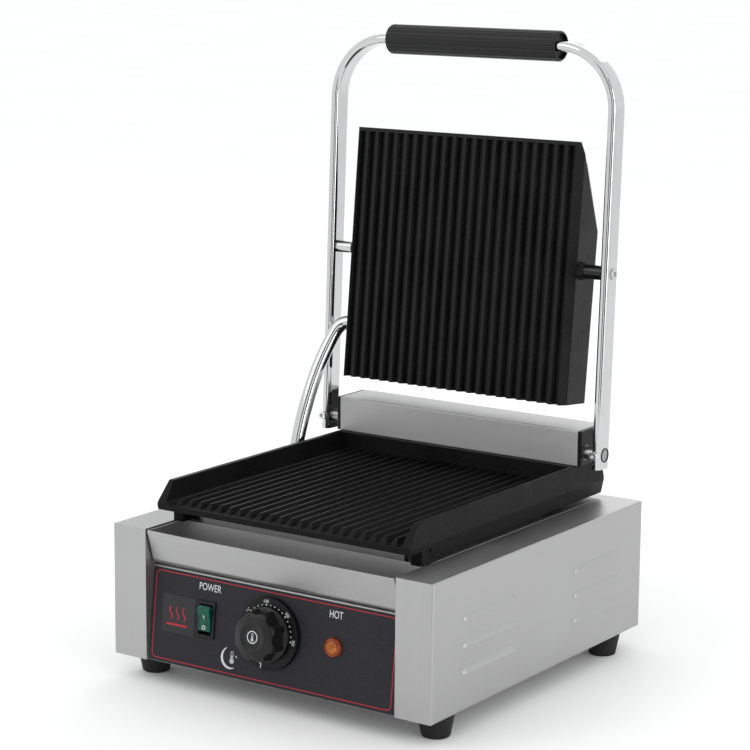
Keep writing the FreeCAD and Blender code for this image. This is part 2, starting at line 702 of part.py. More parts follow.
def lower_plate():
    """The ribbed iron plate: floor open at the front, three walls, and a shelf for the hinge."""
    iron = body("iron")
    half = s.plate_width / 2
    front_y = front + s.plate_front
    back_y = front + s.plate_back
    cook_y = front + s.plate_front + s.cook_depth
    rim = deck + s.wall_height
    profile = sketch(iron, "XZ_Plane", "iron_profile", -back_y)
    outline(profile, [
        (-half + 2.5, plate_low), (half - 2.5, plate_low), (half, plate_middle + 3.5), (half - 2, rim),
        (2 - half, rim), (-half, plate_middle + 3.5)])
    pad(iron, profile, "iron_block", back_y - front_y)
    # The walls' front ends slope back towards the top.
    nose = sketch(iron, "YZ_Plane", "iron_nose_outline")
    outline(nose, [
        (front_y - 1, plate_middle + 5.5), (front_y, plate_middle + 5.5), (front_y + 12, rim),
        (front_y + 12, rim + 1), (front_y - 1, rim + 1)])
    pocket(iron, nose, "iron_nose", middle=True)
    # The cooking space between the walls.
    space = sketch(iron, "XZ_Plane", "iron_space_outline", -cook_y)
    outline(space, [
        (8 - half, plate_floor), (half - 8, plate_floor), (half - 6, rim + 1), (6 - half, rim + 1)])
    pocket(iron, space, "iron_space", s.cook_depth + 2, back_way=True)
    smooth(iron, "iron_corner", 3, lambda edge: (
        runs_along(edge, "y") and abs(middle_of(edge).z - plate_floor.number) < 0.1))
    # The underside is open below the floor; its front part is raised for the tray.
    below = sketch(iron, "XY_Plane", "iron_below_outline", plate_low - 1)
    rectangle(below, (7.5 - half, front_y + 8), (half - 7.5, cook_y + 4))
    pocket(iron, below, "iron_below", plate_middle - plate_low + 0.5, back_way=True)
    chin = sketch(iron, "XY_Plane", "iron_chin_outline", plate_low - 1)
    rectangle(chin, (-half - 1, front_y - 1), (half + 1, front_y + 28))
    pocket(iron, chin, "iron_chin", plate_middle - plate_low + 1, back_way=True)
    shelf = sketch(iron, "XY_Plane", "iron_shelf_outline", plate_low - 1)
    rectangle(shelf, (8 - half, cook_y + 8), (half - 8, back_y - 6))
    pocket(iron, shelf, "iron_shelf", 22, back_way=True)
    # The rear corner falls away below the lid's arms.
    tail = sketch(iron, "YZ_Plane", "iron_tail_outline")
    outline(tail, [(back_y - 3, rim + 1), (back_y + 1, rim + 1), (back_y + 1, rim - 14), (back_y, rim - 14)])
    pocket(iron, tail, "iron_tail", middle=True)
    # Ribs run from front to back, with their front ends sloped.
    rib = sketch(iron, "XZ_Plane", "iron_rib_outline", -(cook_y + 1))
    rib_x = s.rib_pitch * -10.5
    outline(rib, [
        (rib_x - 3, plate_floor - 1), (rib_x + 3, plate_floor - 1), (rib_x + 3, plate_floor),
        (rib_x + 1, plate_floor + s.rib_height), (rib_x - 1, plate_floor + s.rib_height),
        (rib_x - 3, plate_floor)])
    ridge = pad(iron, rib, "iron_rib", s.cook_depth - 2.5)
    repeat(iron, ridge, "iron_ribs", (profile, ["H_Axis"]), s.rib_pitch * 21, 22)
    slope = sketch(iron, "YZ_Plane", "iron_slope_outline")
    outline(slope, [
        (front_y + 2, plate_floor), (front_y + 3.6, plate_floor), (front_y + 8, plate_floor + s.rib_height),
        (front_y + 8, plate_floor + 6), (front_y + 2, plate_floor + 6)])
    pocket(iron, slope, "iron_slope", s.plate_width - 26, middle=True)
    node(iron, "lower_plate")

    # Cast pegs under the plate stand it off the deck.
    pegs = []
    for side in (-1, 1):
        low_x = 103.6 if side > 0 else -113.2
        tall = box(f"peg_tall_{side + 1}", (9.6, 10.9, plate_middle - deck - 0.05), (low_x, front + 33, deck))
        long = box(f"peg_long_{side + 1}", (9.6, 21, plate_low - deck - 0.05), (low_x, front + 33, deck))
        pegs.append(fuse(f"peg_front_{side + 1}", [tall, long]))
        pegs.append(cylinder(f"peg_rear_{side + 1}", 5, 11.45, (100 * side, front + 242, deck)))
    node(group("peg_group", pegs), "plate_pegs")


def lower_heater():
    """The tubular element under the lower plate, its reflector pan and a mineral-wool pad."""
    y0 = front.number
    z0 = plate_middle.number - 4.4
    route = [
        (-40, 70, -22), (-40, 70, 0), (-40, 96, 0), (-80, 100, 0), (-80, 200, 0), (-26, 204, 0), (-26, 120, 0),
        (26, 118, 0), (26, 204, 0), (80, 200, 0), (80, 100, 0), (40, 96, 0), (40, 70, 0), (40, 70, -22)]
    points = [FreeCAD.Vector(x, y0 + y, z0 + z) for x, y, z in route]
    node(feature("lower_coil", tube_along(points, 3.2)), "lower_element")

    outer = box("pan_outer", (194, 172, 17), (-97, front + 63, deck - 11.5))
    inner = box("pan_inner", (194 - 2 * s.sheet, 172 - 2 * s.sheet, 20),
                (s.sheet - 97, front + 63 + s.sheet, deck - 11.5 + s.sheet))
    holes = [cylinder(f"pan_hole_{side}", 4.2, 10, (40 * side, front + 70, deck - 15)) for side in (-1, 1)]
    slit = cylinder("pan_slit", 4.2, 10, (72, front + 62, deck - 7), "y")
    node(cut("pan_cut", outer, [inner] + holes + [slit]), "reflector_pan")

    wool = box("lower_wool", (180, 130, 8), (-90, front + 96, deck - 10.2))
    groove = box("lower_wool_groove", (9, 115, 12), (67.5, front + 90, deck - 12))
    node(cut("lower_wool_cut", wool, [groove]), "lower_insulation")


# ---------------------------------------------------------------- hinge


def hinge():
    """The cast block behind the plate, its steel cover, the axle, its bushes and springs."""
    low = deck + s.wall_height
    block = box("block_solid", (s.block_width - 6, 34.6, 26.6), (3 - s.block_width / 2, front + 252, low))
    ears = []
    for side in (-1, 1):
        ear_x = s.block_width / 2 - 3 if side > 0 else -s.block_width / 2
        ears.append(box(f"block_ear_{side + 1}", (3, 36.6, 27.6), (ear_x, front + 251, low)))
    room = box("block_room", (s.block_width - 30, 26, 20), (15 - s.block_width / 2, front + 251, low - 1))
    bore = cylinder(
        "block_bore", s.axle_radius + 1.25, s.block_width + 2, (-s.block_width / 2 - 1, hinge_y, hinge_z), "x")
    node(cut("block_cut", fuse("block_fused", [block] + ears), [room, bore]), "hinge_block")

    cover = body("cover")
    side = sketch(cover, "YZ_Plane", "cover_profile")
    y1, y2 = front + 250.5, front + 288.3
    z1, z2 = low + 0.2, low + 28
    outline(side, [
        (y1, z1), (y1, z2), (y2, z2), (y2, z1), (y2 - s.sheet, z1), (y2 - s.sheet, z2 - s.sheet),
        (y1 + s.sheet, z2 - s.sheet), (y1 + s.sheet, z1)])
    pad(cover, side, "cover_sheet", s.block_width - 6.6, middle=True)
    smooth(cover, "cover_bend", 1.1, lambda edge: (
        runs_along(edge, "x") and abs(middle_of(edge).z - z2.number) < 0.01))
    node(cover, "hinge_cover")

    reach = s.arm_x + s.tube_thick / 2
    node(cylinder("axle_rod", s.axle_radius, reach * 2, (-reach, hinge_y, hinge_z), "x"), "hinge_axle")

    bushes = []
    springs = []
    for side in (-1, 1):
        bush_x = s.block_width / 2 - 12 if side > 0 else -s.block_width / 2
        outer = cylinder(f"bush_outer_{side + 1}", s.axle_radius + 1.2, 12, (bush_x, hinge_y, hinge_z), "x")
        inner = cylinder(f"bush_inner_{side + 1}", s.axle_radius + 0.05, 14, (bush_x - 1, hinge_y, hinge_z), "x")
        bushes.append(cut(f"bush_{side + 1}", outer, [inner]))
    node(group("bush_group", bushes), "hinge_bushes")

    # Each counterbalance spring is a close-wound coil round the axle, drawn turn by turn.
    for side in (-1, 1):
        turns = []
        for turn in range(15):
            ring = doc.addObject("Part::Torus", f"spring_{side + 1}_{turn}")
            ring.Radius1 = 5.95
            ring.Radius2 = 0.9
            turns.append(place(ring, ((50 + turn * 1.6) * side, hinge_y, hinge_z), Y_AXIS, 90))
        springs.append(fuse(f"spring_{side + 1}", turns))
    node(group("spring_group", springs), "counter_springs")


# ---------------------------------------------------------------- lid: arms, grip and upper plate


def handle():
    """One flat-oval tube bent into a U: two arms and the bar that carries the grip."""
    tube = body("handle")
    top = s.arm_length
    half = s.arm_x.number
    radius = s.bend_radius.number
    height = top.number
    route = sketch(tube, "XZ_Plane", "handle_route")
    foot_z = -11.0
    corner = FreeCAD.Vector
    left_arm = Part.LineSegment(corner(-half, foot_z, 0), corner(-half, height - radius, 0))
    left_bend = Part.ArcOfCircle(
        Part.Circle(corner(radius - half, height - radius, 0), Z_AXIS, radius), math.pi / 2, math.pi)
    bar = Part.LineSegment(corner(radius - half, height, 0), corner(half - radius, height, 0))
    right_bend = Part.ArcOfCircle(
        Part.Circle(corner(half - radius, height - radius, 0), Z_AXIS, radius), 0, math.pi / 2)
    right_arm = Part.LineSegment(corner(half, height - radius, 0), corner(half, foot_z, 0))
    for piece in (left_arm, left_bend, bar, right_bend, right_arm):
        route.addGeometry(piece, False)
    # Lines meet arcs end to end and in one direction; an arc runs anticlockwise.
    joins = ((0, 2, 1, 2), (1, 1, 2, 1), (2, 2, 3, 2), (3, 1, 4, 1))
    for one, one_end, two, two_end in joins:
        route.addConstraint(Sketcher.Constraint("Tangent", one, one_end, two, two_end))
    route.addConstraint(Sketcher.Constraint("Vertical", 0))
    route.addConstraint(Sketcher.Constraint("Horizontal", 2))
    route.addConstraint(Sketcher.Constraint("Equal", 1, 3))
    fix(route, "Radius", (1,), s.bend_radius)
    fix(route, "DistanceX", (-1, 1, 0, 1), -s.arm_x)
    fix(route, "DistanceY", (-1, 1, 0, 1), foot_z)
    fix(route, "DistanceX", (-1, 1, 4, 2), s.arm_x)
    fix(route, "DistanceY", (-1, 1, 4, 2), foot_z)
    fix(route, "DistanceY", (-1, 1, 2, 1), top)

    def oval(name, thick, wide):
        """A section with flat sides and half-round edges, at the left arm's foot."""
        drawing = sketch(tube, "XY_Plane", name, foot_z)
        r = thick.number / 2
        flat = (wide.number - thick.number) / 2
        drawing.addGeometry(Part.LineSegment(corner(r - half, -flat, 0), corner(r - half, flat, 0)), False)
        drawing.addGeometry(Part.ArcOfCircle(
            Part.Circle(corner(-half, flat, 0), Z_AXIS, r), 0, math.pi), False)
        drawing.addGeometry(Part.LineSegment(corner(-r - half, flat, 0), corner(-r - half, -flat, 0)), False)
        drawing.addGeometry(Part.ArcOfCircle(
            Part.Circle(corner(-half, -flat, 0), Z_AXIS, r), math.pi, 2 * math.pi), False)
        for one, one_end, two, two_end in ((0, 2, 1, 1), (1, 2, 2, 1), (2, 2, 3, 1), (3, 2, 0, 1)):
            drawing.addConstraint(Sketcher.Constraint("Tangent", one, one_end, two, two_end))
        drawing.addConstraint(Sketcher.Constraint("Vertical", 0))
        fix(drawing, "Radius", (1,), thick / 2)
        fix(drawing, "DistanceX", (-1, 1, 1, 3), -s.arm_x)
        fix(drawing, "DistanceY", (-1, 1, 1, 3), (wide - thick) / 2)
        fix(drawing, "DistanceY", (-1, 1, 3, 3), (thick - wide) / 2)
        return drawing

    outer = tube.newObject("PartDesign::AdditivePipe", "handle_tube_outer")
    outer.Profile = oval("handle_oval", s.tube_thick, s.tube_wide)
    outer.Spine = (route, ["Edge1", "Edge2", "Edge3", "Edge4", "Edge5"])
    doc.recompute()
    inner = tube.newObject("PartDesign::SubtractivePipe", "handle_tube_inner")
    inner.Profile = oval(
        "handle_bore_oval", s.tube_thick - s.tube_wall * 2, s.tube_wide - s.tube_wall * 2)
    inner.Spine = (route, ["Edge1", "Edge2", "Edge3", "Edge4", "Edge5"])
    doc.recompute()
    cross = sketch(tube, "YZ_Plane", "handle_cross_outline")
    circle(cross, (0, 0), s.axle_radius + 0.02)
    rise = (s.pivot_height - s.hinge_height).number
    reach = (s.pivot_setback - s.hinge_setback).number
    lean = math.radians(s.arm_lean.number)
    circle(cross, (reach * math.cos(lean) - rise * math.sin(lean),
                   reach * math.sin(lean) + rise * math.cos(lean)), s.pivot_radius + 0.02)
    pocket(tube, cross, "handle_cross_holes", middle=True)
    locks = sketch(tube, "XZ_Plane", "handle_lock_outline")
    for side in (-1, 1):
        circle(locks, (s.arm_x * side, 0), 2)
    pocket(tube, locks, "handle_lock_holes", 12, back_way=True)
    node(place(tube, (0, hinge_y, hinge_z), X_AXIS, -s.arm_lean), "handle_tube")


def on_arm(thing, up, forward=0):
    """Put a sub-part at a height along the leaning arms."""
    lean = math.radians(s.arm_lean.number)
    where_y = hinge_y + as_size(up) * math.sin(lean) - as_size(forward) * math.cos(lean)
    where_z = hinge_z + as_size(up) * math.cos(lean) + as_size(forward) * math.sin(lean)
    return place(thing, (0, where_y, where_z), X_AXIS, -s.arm_lean)


def grip():
    """The fluted grip on the handle's bar."""
    sleeve = body("grip")
    ring = sketch(sleeve, "YZ_Plane", "grip_outline")
    circle(ring, (0, 0), s.grip_radius)
    pad(sleeve, ring, "grip_round", s.grip_length, middle=True)
    smooth(sleeve, "grip_ends", 1.6, lambda edge: edge.Curve.TypeId == "Part::GeomCircle")
    flute = sketch(sleeve, "YZ_Plane", "grip_flute_outline")
    circle(flute, (s.grip_radius + 0.45, 0), 0.95)
    groove = pocket(sleeve, flute, "grip_flute", middle=True)
    turn_copies(sleeve, groove, "grip_flutes", (ring, ["N_Axis"]), 22)
    slot = sketch(sleeve, "YZ_Plane", "grip_slot_outline")
    half_y = s.tube_wide / 2 + 0.05
    half_z = s.tube_thick / 2 + 0.05
    rectangle(slot, (-half_y, -half_z), (half_y, half_z))
    pocket(sleeve, slot, "grip_slot", middle=True)
    dish = sketch(sleeve, "YZ_Plane", "grip_dish_outline", s.grip_length / 2 + 1)
    circle(dish, (0, 0), 9.9)
    pocket(sleeve, dish, "grip_dish_right", 4)
    dish = sketch(sleeve, "YZ_Plane", "grip_dish_left_outline", -s.grip_length / 2 - 1)
    circle(dish, (0, 0), 9.9)
    pocket(sleeve, dish, "grip_dish_left", 4, back_way=True)
    node(on_arm(sleeve, s.arm_length), "grip")


def arm_hardware():
    """The screws that lock the arms to the axle, and the bolts and sleeves of the plate's pivot."""
    locks = []
    lean = math.radians(s.arm_lean.number)
    for side in (-1, 1):
        reach = s.tube_wide / 2
        where = (s.arm_x * side, hinge_y - reach * math.cos(lean), hinge_z + reach * math.sin(lean))
        locks.append(screw(f"lock_{side + 1}", 3.3, 4.2, 1.95, 3.6, where, X_AXIS, 90 - s.arm_lean.number))
    node(group("lock_group", locks), "arm_lock_screws")

    pivot_y = front + s.pivot_setback
    pivot_z = s.pivot_height
    bolts = []
    outer_x = s.arm_x + s.tube_thick / 2
    shank = outer_x - s.lid_width / 2 + 6
    for side in (-1, 1):
        bolt = screw(
            f"pivot_bolt_{side + 1}", 4.3, 1.4, s.pivot_radius.number, shank.number,
            (outer_x * side, pivot_y, pivot_z), Y_AXIS, 90 * side)
        bolts.append(bolt)
    node(group("pivot_group", bolts), "pivot_bolts")

    gap_length = s.arm_x - s.tube_thick / 2 - s.lid_width / 2 - 0.6
    for side, label, radius in ((-1, "left", 4.9), (1, "right", 5.6)):
        start = s.lid_width / 2 + 0.4 if side > 0 else 0.2 + s.tube_thick / 2 - s.arm_x
        name = f"pivot_sleeve_{label}"
        ring = cylinder(name + "_ring", radius, gap_length, (start, pivot_y, pivot_z), "x")
        hole = cylinder(name + "_hole", s.pivot_radius + 0.04, gap_length + 2, (start - 1, pivot_y, pivot_z), "x")
        node(cut(name + "_cut", ring, [hole]), name)


# The upper plate is drawn upright about its pivot: y is its depth behind the pivot, z runs up it.


def on_lid(thing):
    return place(thing, (0, front + s.pivot_setback, s.pivot_height), X_AXIS, -s.lid_lean)


def upper_plate():
    """The ribbed iron plate of the lid: deep at the bottom and sloping to a thin top edge."""
    iron = body("lid_iron")
    face = -s.face_depth
    low = -s.lid_below
    high = s.lid_height - s.lid_below
    side = sketch(iron, "YZ_Plane", "lid_profile")
    outline(side, [
        (face, low), (face, high), (face + 4, high), (face + 11.6, high - 16), (face + 36.4, high - 69),
        (face + 35.4, low)])
    pad(iron, side, "lid_block", s.lid_width, middle=True)
    taper = sketch(iron, "XY_Plane", "lid_taper_outline", low - 1)
    half = s.lid_width / 2
    for way in (-1, 1):
        outline(taper, [
            ((half + 1) * way, face - 1), ((half + 1) * way, face + 8), (half * way, face + 8),
            ((half - 3.2) * way, face), ((half - 3.2) * way, face - 1)])
    pocket(iron, taper, "lid_taper", back_way=True)
    cavity = sketch(iron, "YZ_Plane", "lid_cavity_outline")
    rectangle(cavity, (face + 10, low + 8), (face + 60, high - 22))
    pocket(iron, cavity, "lid_cavity", s.lid_width - 14, middle=True)
    bore = sketch(iron, "YZ_Plane", "lid_bore_outline")
    circle(bore, (0, 0), s.pivot_radius + 0.05)
    pocket(iron, bore, "lid_bore", middle=True)
    groove = sketch(iron, "XY_Plane", "lid_groove_outline", low - 1)
    start = s.rib_pitch * -10.5
    outline(groove, [
        (start - 3.3, face - 1), (start - 3.3, face), (start - 1.4, face + 4.8), (start + 1.4, face + 4.8),
        (start + 3.3, face), (start + 3.3, face - 1)])
    furrow = pocket(iron, groove, "lid_groove", s.lid_height - 2, back_way=True)
    repeat(iron, furrow, "lid_grooves", (groove, ["H_Axis"]), s.rib_pitch * 21, 22)
    node(on_lid(iron), "upper_plate")

    cover = body("lid_cover")
    side = sketch(cover, "YZ_Plane", "lid_cover_profile")
    outline(side, [
        (face + 11.7, high - 16), (face + 13.3, high - 16), (face + 38, high - 68.7), (face + 37, low + 0.4),
        (face + 35.5, low + 0.4), (face + 36.5, high - 69)])
    pad(cover, side, "lid_cover_sheet", s.lid_width - 1, middle=True)
    screw_rises = (16, 118)
    holes = sketch(cover, "XZ_Plane", "lid_cover_hole_outline")
    for way in (-1, 1):
        for up in screw_rises:
            circle(holes, (100 * way, low + up), 1.65)
    pocket(cover, holes, "lid_cover_holes", middle=True)
    node(on_lid(cover), "upper_cover")

    y0 = face.number + 13.6
    z0 = low.number
    route = [
        (-30, 18, 40), (-30, 0, 40), (-78, 0, 34), (-78, 0, 168), (-24, 0, 172), (-24, 0, 96), (24, 0, 94),
        (24, 0, 172), (78, 0, 168), (78, 0, 34), (30, 0, 40), (30, 18, 40)]
    points = [FreeCAD.Vector(x, y0 + y, z0 + z) for x, y, z in route]
    node(on_lid(feature("lid_coil", tube_along(points, 3.4))), "upper_element")

    wool = body("lid_wool")
    slab = sketch(wool, "XZ_Plane", "lid_wool_outline", -(face + 18))
    rectangle(slab, (-88, low + 14), (88, high - 76))
    for way in (-1, 1):
        circle(slab, (30 * way, low + 40), 6.5)
    pad(wool, slab, "lid_wool_slab", 12, back_way=True)
    node(on_lid(wool), "upper_insulation")

    screws = []
    for way in (-1, 1):
        for up in screw_rises:
            bolt = screw(f"cover_screw_{way + 1}_{up}", 3.4, 2, 1.6, 1, (0, 0, 0), X_AXIS, -90)
            lean = math.radians(s.lid_lean.number)
            out = (face + 37.05 + up * 0.0075).number
            rise = (low + up).number
            where_y = front + s.pivot_setback + (out * math.cos(lean) + rise * math.sin(lean))
            where_z = s.pivot_height + (rise * math.cos(lean) - out * math.sin(lean))
            place(bolt, (100 * way, where_y, where_z), X_AXIS, -90 - s.lid_lean.number)
            screws.append(bolt)
    node(group("cover_screw_group", screws), "cover_screws")


def conduit():
    """The steel wiring tube from the left side panel to the lid, with a ferrule at each end."""
    y0 = front.number
    base = FreeCAD.Vector(-128, y0 + 208, deck.number)
    route = [
        (0, 0, 6.05), (0, 0, 18), (0, 13, 50), (2.5, 27, 84), (8, 39, 108), (12, 50.2, 123), (22.95, 50.2, 123)]
    points = [base + FreeCAD.Vector(x, y, z) for x, y, z in route]
    node(feature("conduit_tube", tube_along(points, 5.8, 4.6)), "wiring_conduit")
    collar = cylinder("collar_low", 9, 6, (-128, front + 208, deck))
    passage = cylinder("collar_low_hole", 4.6, 8, (-128, front + 208, deck - 1))
    node(cut("collar_low_cut", collar, [passage]), "conduit_collar_base")


side_panels()
deck_plate()
back_panel()
bottom_plate()
feet()
control_panel()
power_switch()
thermostat()
indicator_lamp()
inner_parts()
drip_tray()
tray_shelf()
lower_plate()
lower_heater()
hinge()
handle()
grip()
arm_hardware()
upper_plate()
conduit()

doc.recompute()
faults = [thing.Name for thing in doc.Objects if set(thing.State) & {"Invalid", "Error"}]
if faults:
    raise RuntimeError(f"these objects failed: {faults}")
for thing in nodes:
    if thing.Shape.isNull() or not thing.Shape.isValid():
        raise RuntimeError(f"{thing.Label} has no valid shape")

os.makedirs("parts", exist_ok=True)
whole = FreeCAD.BoundBox()
for thing in nodes:
    thing.Shape.exportStep(f"parts/{thing.Label}.step")
    whole.add(thing.Shape.BoundBox)
    print(f"{thing.Label}: {len(thing.Shape.Solids)} solids, {thing.Shape.Volume / 1000:.1f} cm3")
print(f"{len(nodes)} nodes, x {whole.XMin:.1f} to {whole.XMax:.1f}, y {whole.YMin:.1f} to {whole.YMax:.1f}, "
      f"z {whole.ZMin:.1f} to {whole.ZMax:.1f}")
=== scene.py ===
import json
import math

import bmesh
import bpy
from mathutils import Matrix, Quaternion, Vector


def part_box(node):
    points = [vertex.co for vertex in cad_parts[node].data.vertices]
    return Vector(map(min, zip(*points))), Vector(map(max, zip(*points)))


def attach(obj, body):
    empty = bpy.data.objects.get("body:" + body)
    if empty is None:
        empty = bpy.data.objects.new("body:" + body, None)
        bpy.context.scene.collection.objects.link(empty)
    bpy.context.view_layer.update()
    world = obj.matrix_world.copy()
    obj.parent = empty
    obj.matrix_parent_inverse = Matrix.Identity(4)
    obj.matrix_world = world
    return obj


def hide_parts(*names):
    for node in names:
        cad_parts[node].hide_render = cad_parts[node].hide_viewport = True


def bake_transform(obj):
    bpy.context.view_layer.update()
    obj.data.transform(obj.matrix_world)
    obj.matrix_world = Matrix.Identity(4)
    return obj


# A contact grill with its lid leaning back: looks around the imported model.
# Lengths in metres, except where a piece is drawn in millimetres and scaled by its own matrix.

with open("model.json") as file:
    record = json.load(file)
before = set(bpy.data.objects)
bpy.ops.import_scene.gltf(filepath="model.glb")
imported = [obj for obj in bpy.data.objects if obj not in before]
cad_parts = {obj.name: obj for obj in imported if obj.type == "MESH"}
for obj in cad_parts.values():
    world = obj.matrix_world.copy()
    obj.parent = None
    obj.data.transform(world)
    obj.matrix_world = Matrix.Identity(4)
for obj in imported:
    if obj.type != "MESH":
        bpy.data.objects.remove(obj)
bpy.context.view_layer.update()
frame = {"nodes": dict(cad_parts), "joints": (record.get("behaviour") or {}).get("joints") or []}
joints = {joint["name"]: joint for joint in frame["joints"]}
scene = bpy.context.scene
MM = 0.001

VIEW_AZIMUTH = math.radians(34.65)
VIEW_ELEVATION = math.radians(10.89)
VIEW_ROLL = math.radians(0.46)
CAMERA_AT = (1.018, -1.4798, 0.5743)
SENSOR_WIDTH = 36
FOCAL_LENGTH = 115.15
FLOOR_HALF = 40

# Heights above the control panel's sheet, in millimetres.
FILM_TOP = 0.4
LABEL_TOP = 0.7
DIAL_TOP = 4.4
PRINT_DEPTH = 0.02
PRINT_HEIGHT = 0.07

# Places on the control panel, in millimetres from the middle of its foot.
DIAL = (0, 40)
LAMP_HEIGHT = 40


# ---------------------------------------------------------------- camera and light


def make_camera():
    back = Vector((
        math.sin(VIEW_AZIMUTH) * math.cos(VIEW_ELEVATION), -math.cos(VIEW_AZIMUTH) * math.cos(VIEW_ELEVATION),
        math.sin(VIEW_ELEVATION)))
    data = bpy.data.cameras.new("camera")
    data.sensor_width = SENSOR_WIDTH
    data.lens = FOCAL_LENGTH
    camera = bpy.data.objects.new("camera", data)
    scene.collection.objects.link(camera)
    camera.location = CAMERA_AT
    camera.rotation_mode = "QUATERNION"
    camera.rotation_quaternion = (-back).to_track_quat("-Z", "Y") @ Quaternion((0, 0, 1), VIEW_ROLL)
    scene.camera = camera


def make_light(name, where, aim, size, power):
    data = bpy.data.lights.new(name, "AREA")
    data.shape = "RECTANGLE"
    data.size, data.size_y = size
    data.energy = power
    light = bpy.data.objects.new(name, data)
    scene.collection.objects.link(light)
    light.location = where
    light.rotation_mode = "QUATERNION"
    light.rotation_quaternion = (Vector(aim) - Vector(where)).to_track_quat("-Z", "Y")


def make_card(name, direction, distance, width, height):
    """A dark upright card that only reflections see; it gives the chrome its thin dark lines."""
    angle = math.radians(direction)
    middle = Vector((math.cos(angle), math.sin(angle), 0)) * distance
    side = Vector((-math.sin(angle), math.cos(angle), 0)) * width / 2
    rise = Vector((0, 0, height))
    mesh = bpy.data.meshes.new(name)
    corners = [middle - side, middle + side, middle + side + rise, middle - side + rise]
    mesh.from_pydata(corners, [], [(0, 1, 2, 3)])
    card = bpy.data.objects.new(name, mesh)
    scene.collection.objects.link(card)
    paint = Paint(name + "_paint", roughness=0.9, specular=0.0)
    paint.colour_between((0.01, 0.01, 0.01), (0.02, 0.02, 0.02), paint.noise(2))
    card.data.materials.append(paint.material)
    card.visible_camera = False
    card.visible_diffuse = False
    card.visible_shadow = False


def make_studio():
    """A pale floor without an edge in view, an even bright room, and soft lights."""
    world = bpy.data.worlds.new("studio")
    scene.world = world
    world.use_nodes = True
    room = world.node_tree.nodes["Background"]
    room.inputs["Color"].default_value = (0.99, 0.995, 1.0, 1)
    room.inputs["Strength"].default_value = 1.05
    make_light("key", (-1.3, -1.9, 2.1), (0, 0, 0.2), (1.2, 1.2), 9)
    make_light("edge", (2.1, -0.75, 0.75), (0, 0, 0.25), (0.22, 1.5), 6)
    make_light("rim", (-0.6, 2.2, 1.6), (0, 0, 0.3), (1.4, 0.8), 7)
    make_card("card_right", -38, 1.5, 0.42, 1.6)
    make_card("card_left", -80, 1.5, 0.42, 1.6)
    mesh = bpy.data.meshes.new("floor")
    corners = [(a * FLOOR_HALF, b * FLOOR_HALF, 0) for a, b in ((-1, -1), (1, -1), (1, 1), (-1, 1))]
    mesh.from_pydata(corners, [], [(0, 1, 2, 3)])
    floor = bpy.data.objects.new("floor", mesh)
    scene.collection.objects.link(floor)
    paint = Paint("floor_paint", roughness=0.9, specular=0.1)
    paint.colour_between((0.94, 0.94, 0.94), (0.96, 0.96, 0.96), paint.noise(3))
    floor.data.materials.append(paint.material)
    scene.view_settings.view_transform = "Standard"


# ---------------------------------------------------------------- materials


class Paint:
    """A node material with small helpers; plain values sit on the shader's own sockets."""

    def __init__(self, name, roughness=0.5, metallic=0.0, specular=0.5):
        self.material = bpy.data.materials.new(name)
        self.material.use_nodes = True
        self.nodes = self.material.node_tree.nodes
        self.links = self.material.node_tree.links
        self.shader = self.nodes["Principled BSDF"]
        self.set("Roughness", roughness)
        self.set("Metallic", metallic)
        self.set("Specular IOR Level", specular)
        self.place = self.nodes.new("ShaderNodeTexCoord").outputs["Object"]

    def set(self, socket, value):
        self.shader.inputs[socket].default_value = value

    def stretched(self, scale):
        """Object coordinates, scaled differently along each axis."""
        mapping = self.nodes.new("ShaderNodeMapping")
        mapping.inputs["Scale"].default_value = scale
        self.links.new(self.place, mapping.inputs["Vector"])
        return mapping.outputs["Vector"]

    def noise(self, scale, detail=3, where=None, rough=0.55):
        node = self.nodes.new("ShaderNodeTexNoise")
        node.inputs["Scale"].default_value = scale
        node.inputs["Detail"].default_value = detail
        node.inputs["Roughness"].default_value = rough
        self.links.new(where or self.place, node.inputs["Vector"])
        return node.outputs["Fac"]

    def cells(self, scale, where=None):
        node = self.nodes.new("ShaderNodeTexVoronoi")
        node.inputs["Scale"].default_value = scale
        self.links.new(where or self.place, node.inputs["Vector"])
        return node.outputs["Distance"]

    def ramp(self, factor, low, high, start=0.0, end=1.0):
        """A number that goes from low to high as the factor goes from start to end."""
        node = self.nodes.new("ShaderNodeMapRange")
        for socket, value in (("From Min", start), ("From Max", end), ("To Min", low), ("To Max", high)):
            node.inputs[socket].default_value = value
        self.links.new(factor, node.inputs["Value"])
        return node.outputs["Result"]

    def sum(self, first, second, share=0.5):
        node = self.nodes.new("ShaderNodeMix")
        node.inputs["Factor"].default_value = share
        self.links.new(first, node.inputs["A"])
        self.links.new(second, node.inputs["B"])
        return node.outputs["Result"]

    def pick(self, factor, first, second):
        node = self.nodes.new("ShaderNodeMix")
        self.links.new(factor, node.inputs["Factor"])
        self.links.new(first, node.inputs["A"])
        self.links.new(second, node.inputs["B"])
        return node.outputs["Result"]

    def colour_between(self, first, second, factor, start=0.3, end=0.7):
        node = self.nodes.new("ShaderNodeValToRGB")
        low, high = node.color_ramp.elements
        low.position, high.position = start, end
        low.color, high.color = (*first, 1), (*second, 1)
        self.links.new(factor, node.inputs["Fac"])
        self.links.new(node.outputs["Color"], self.shader.inputs["Base Color"])
        return self

    def rough_between(self, low, high, factor, start=0.3, end=0.7):
        self.links.new(self.ramp(factor, low, high, start, end), self.shader.inputs["Roughness"])
        return self

    def bump(self, height, depth, strength=0.5):
        node = self.nodes.new("ShaderNodeBump")
        node.inputs["Strength"].default_value = strength
        node.inputs["Distance"].default_value = depth
        self.links.new(height, node.inputs["Height"])
        self.links.new(node.outputs["Normal"], self.shader.inputs["Normal"])
        return self


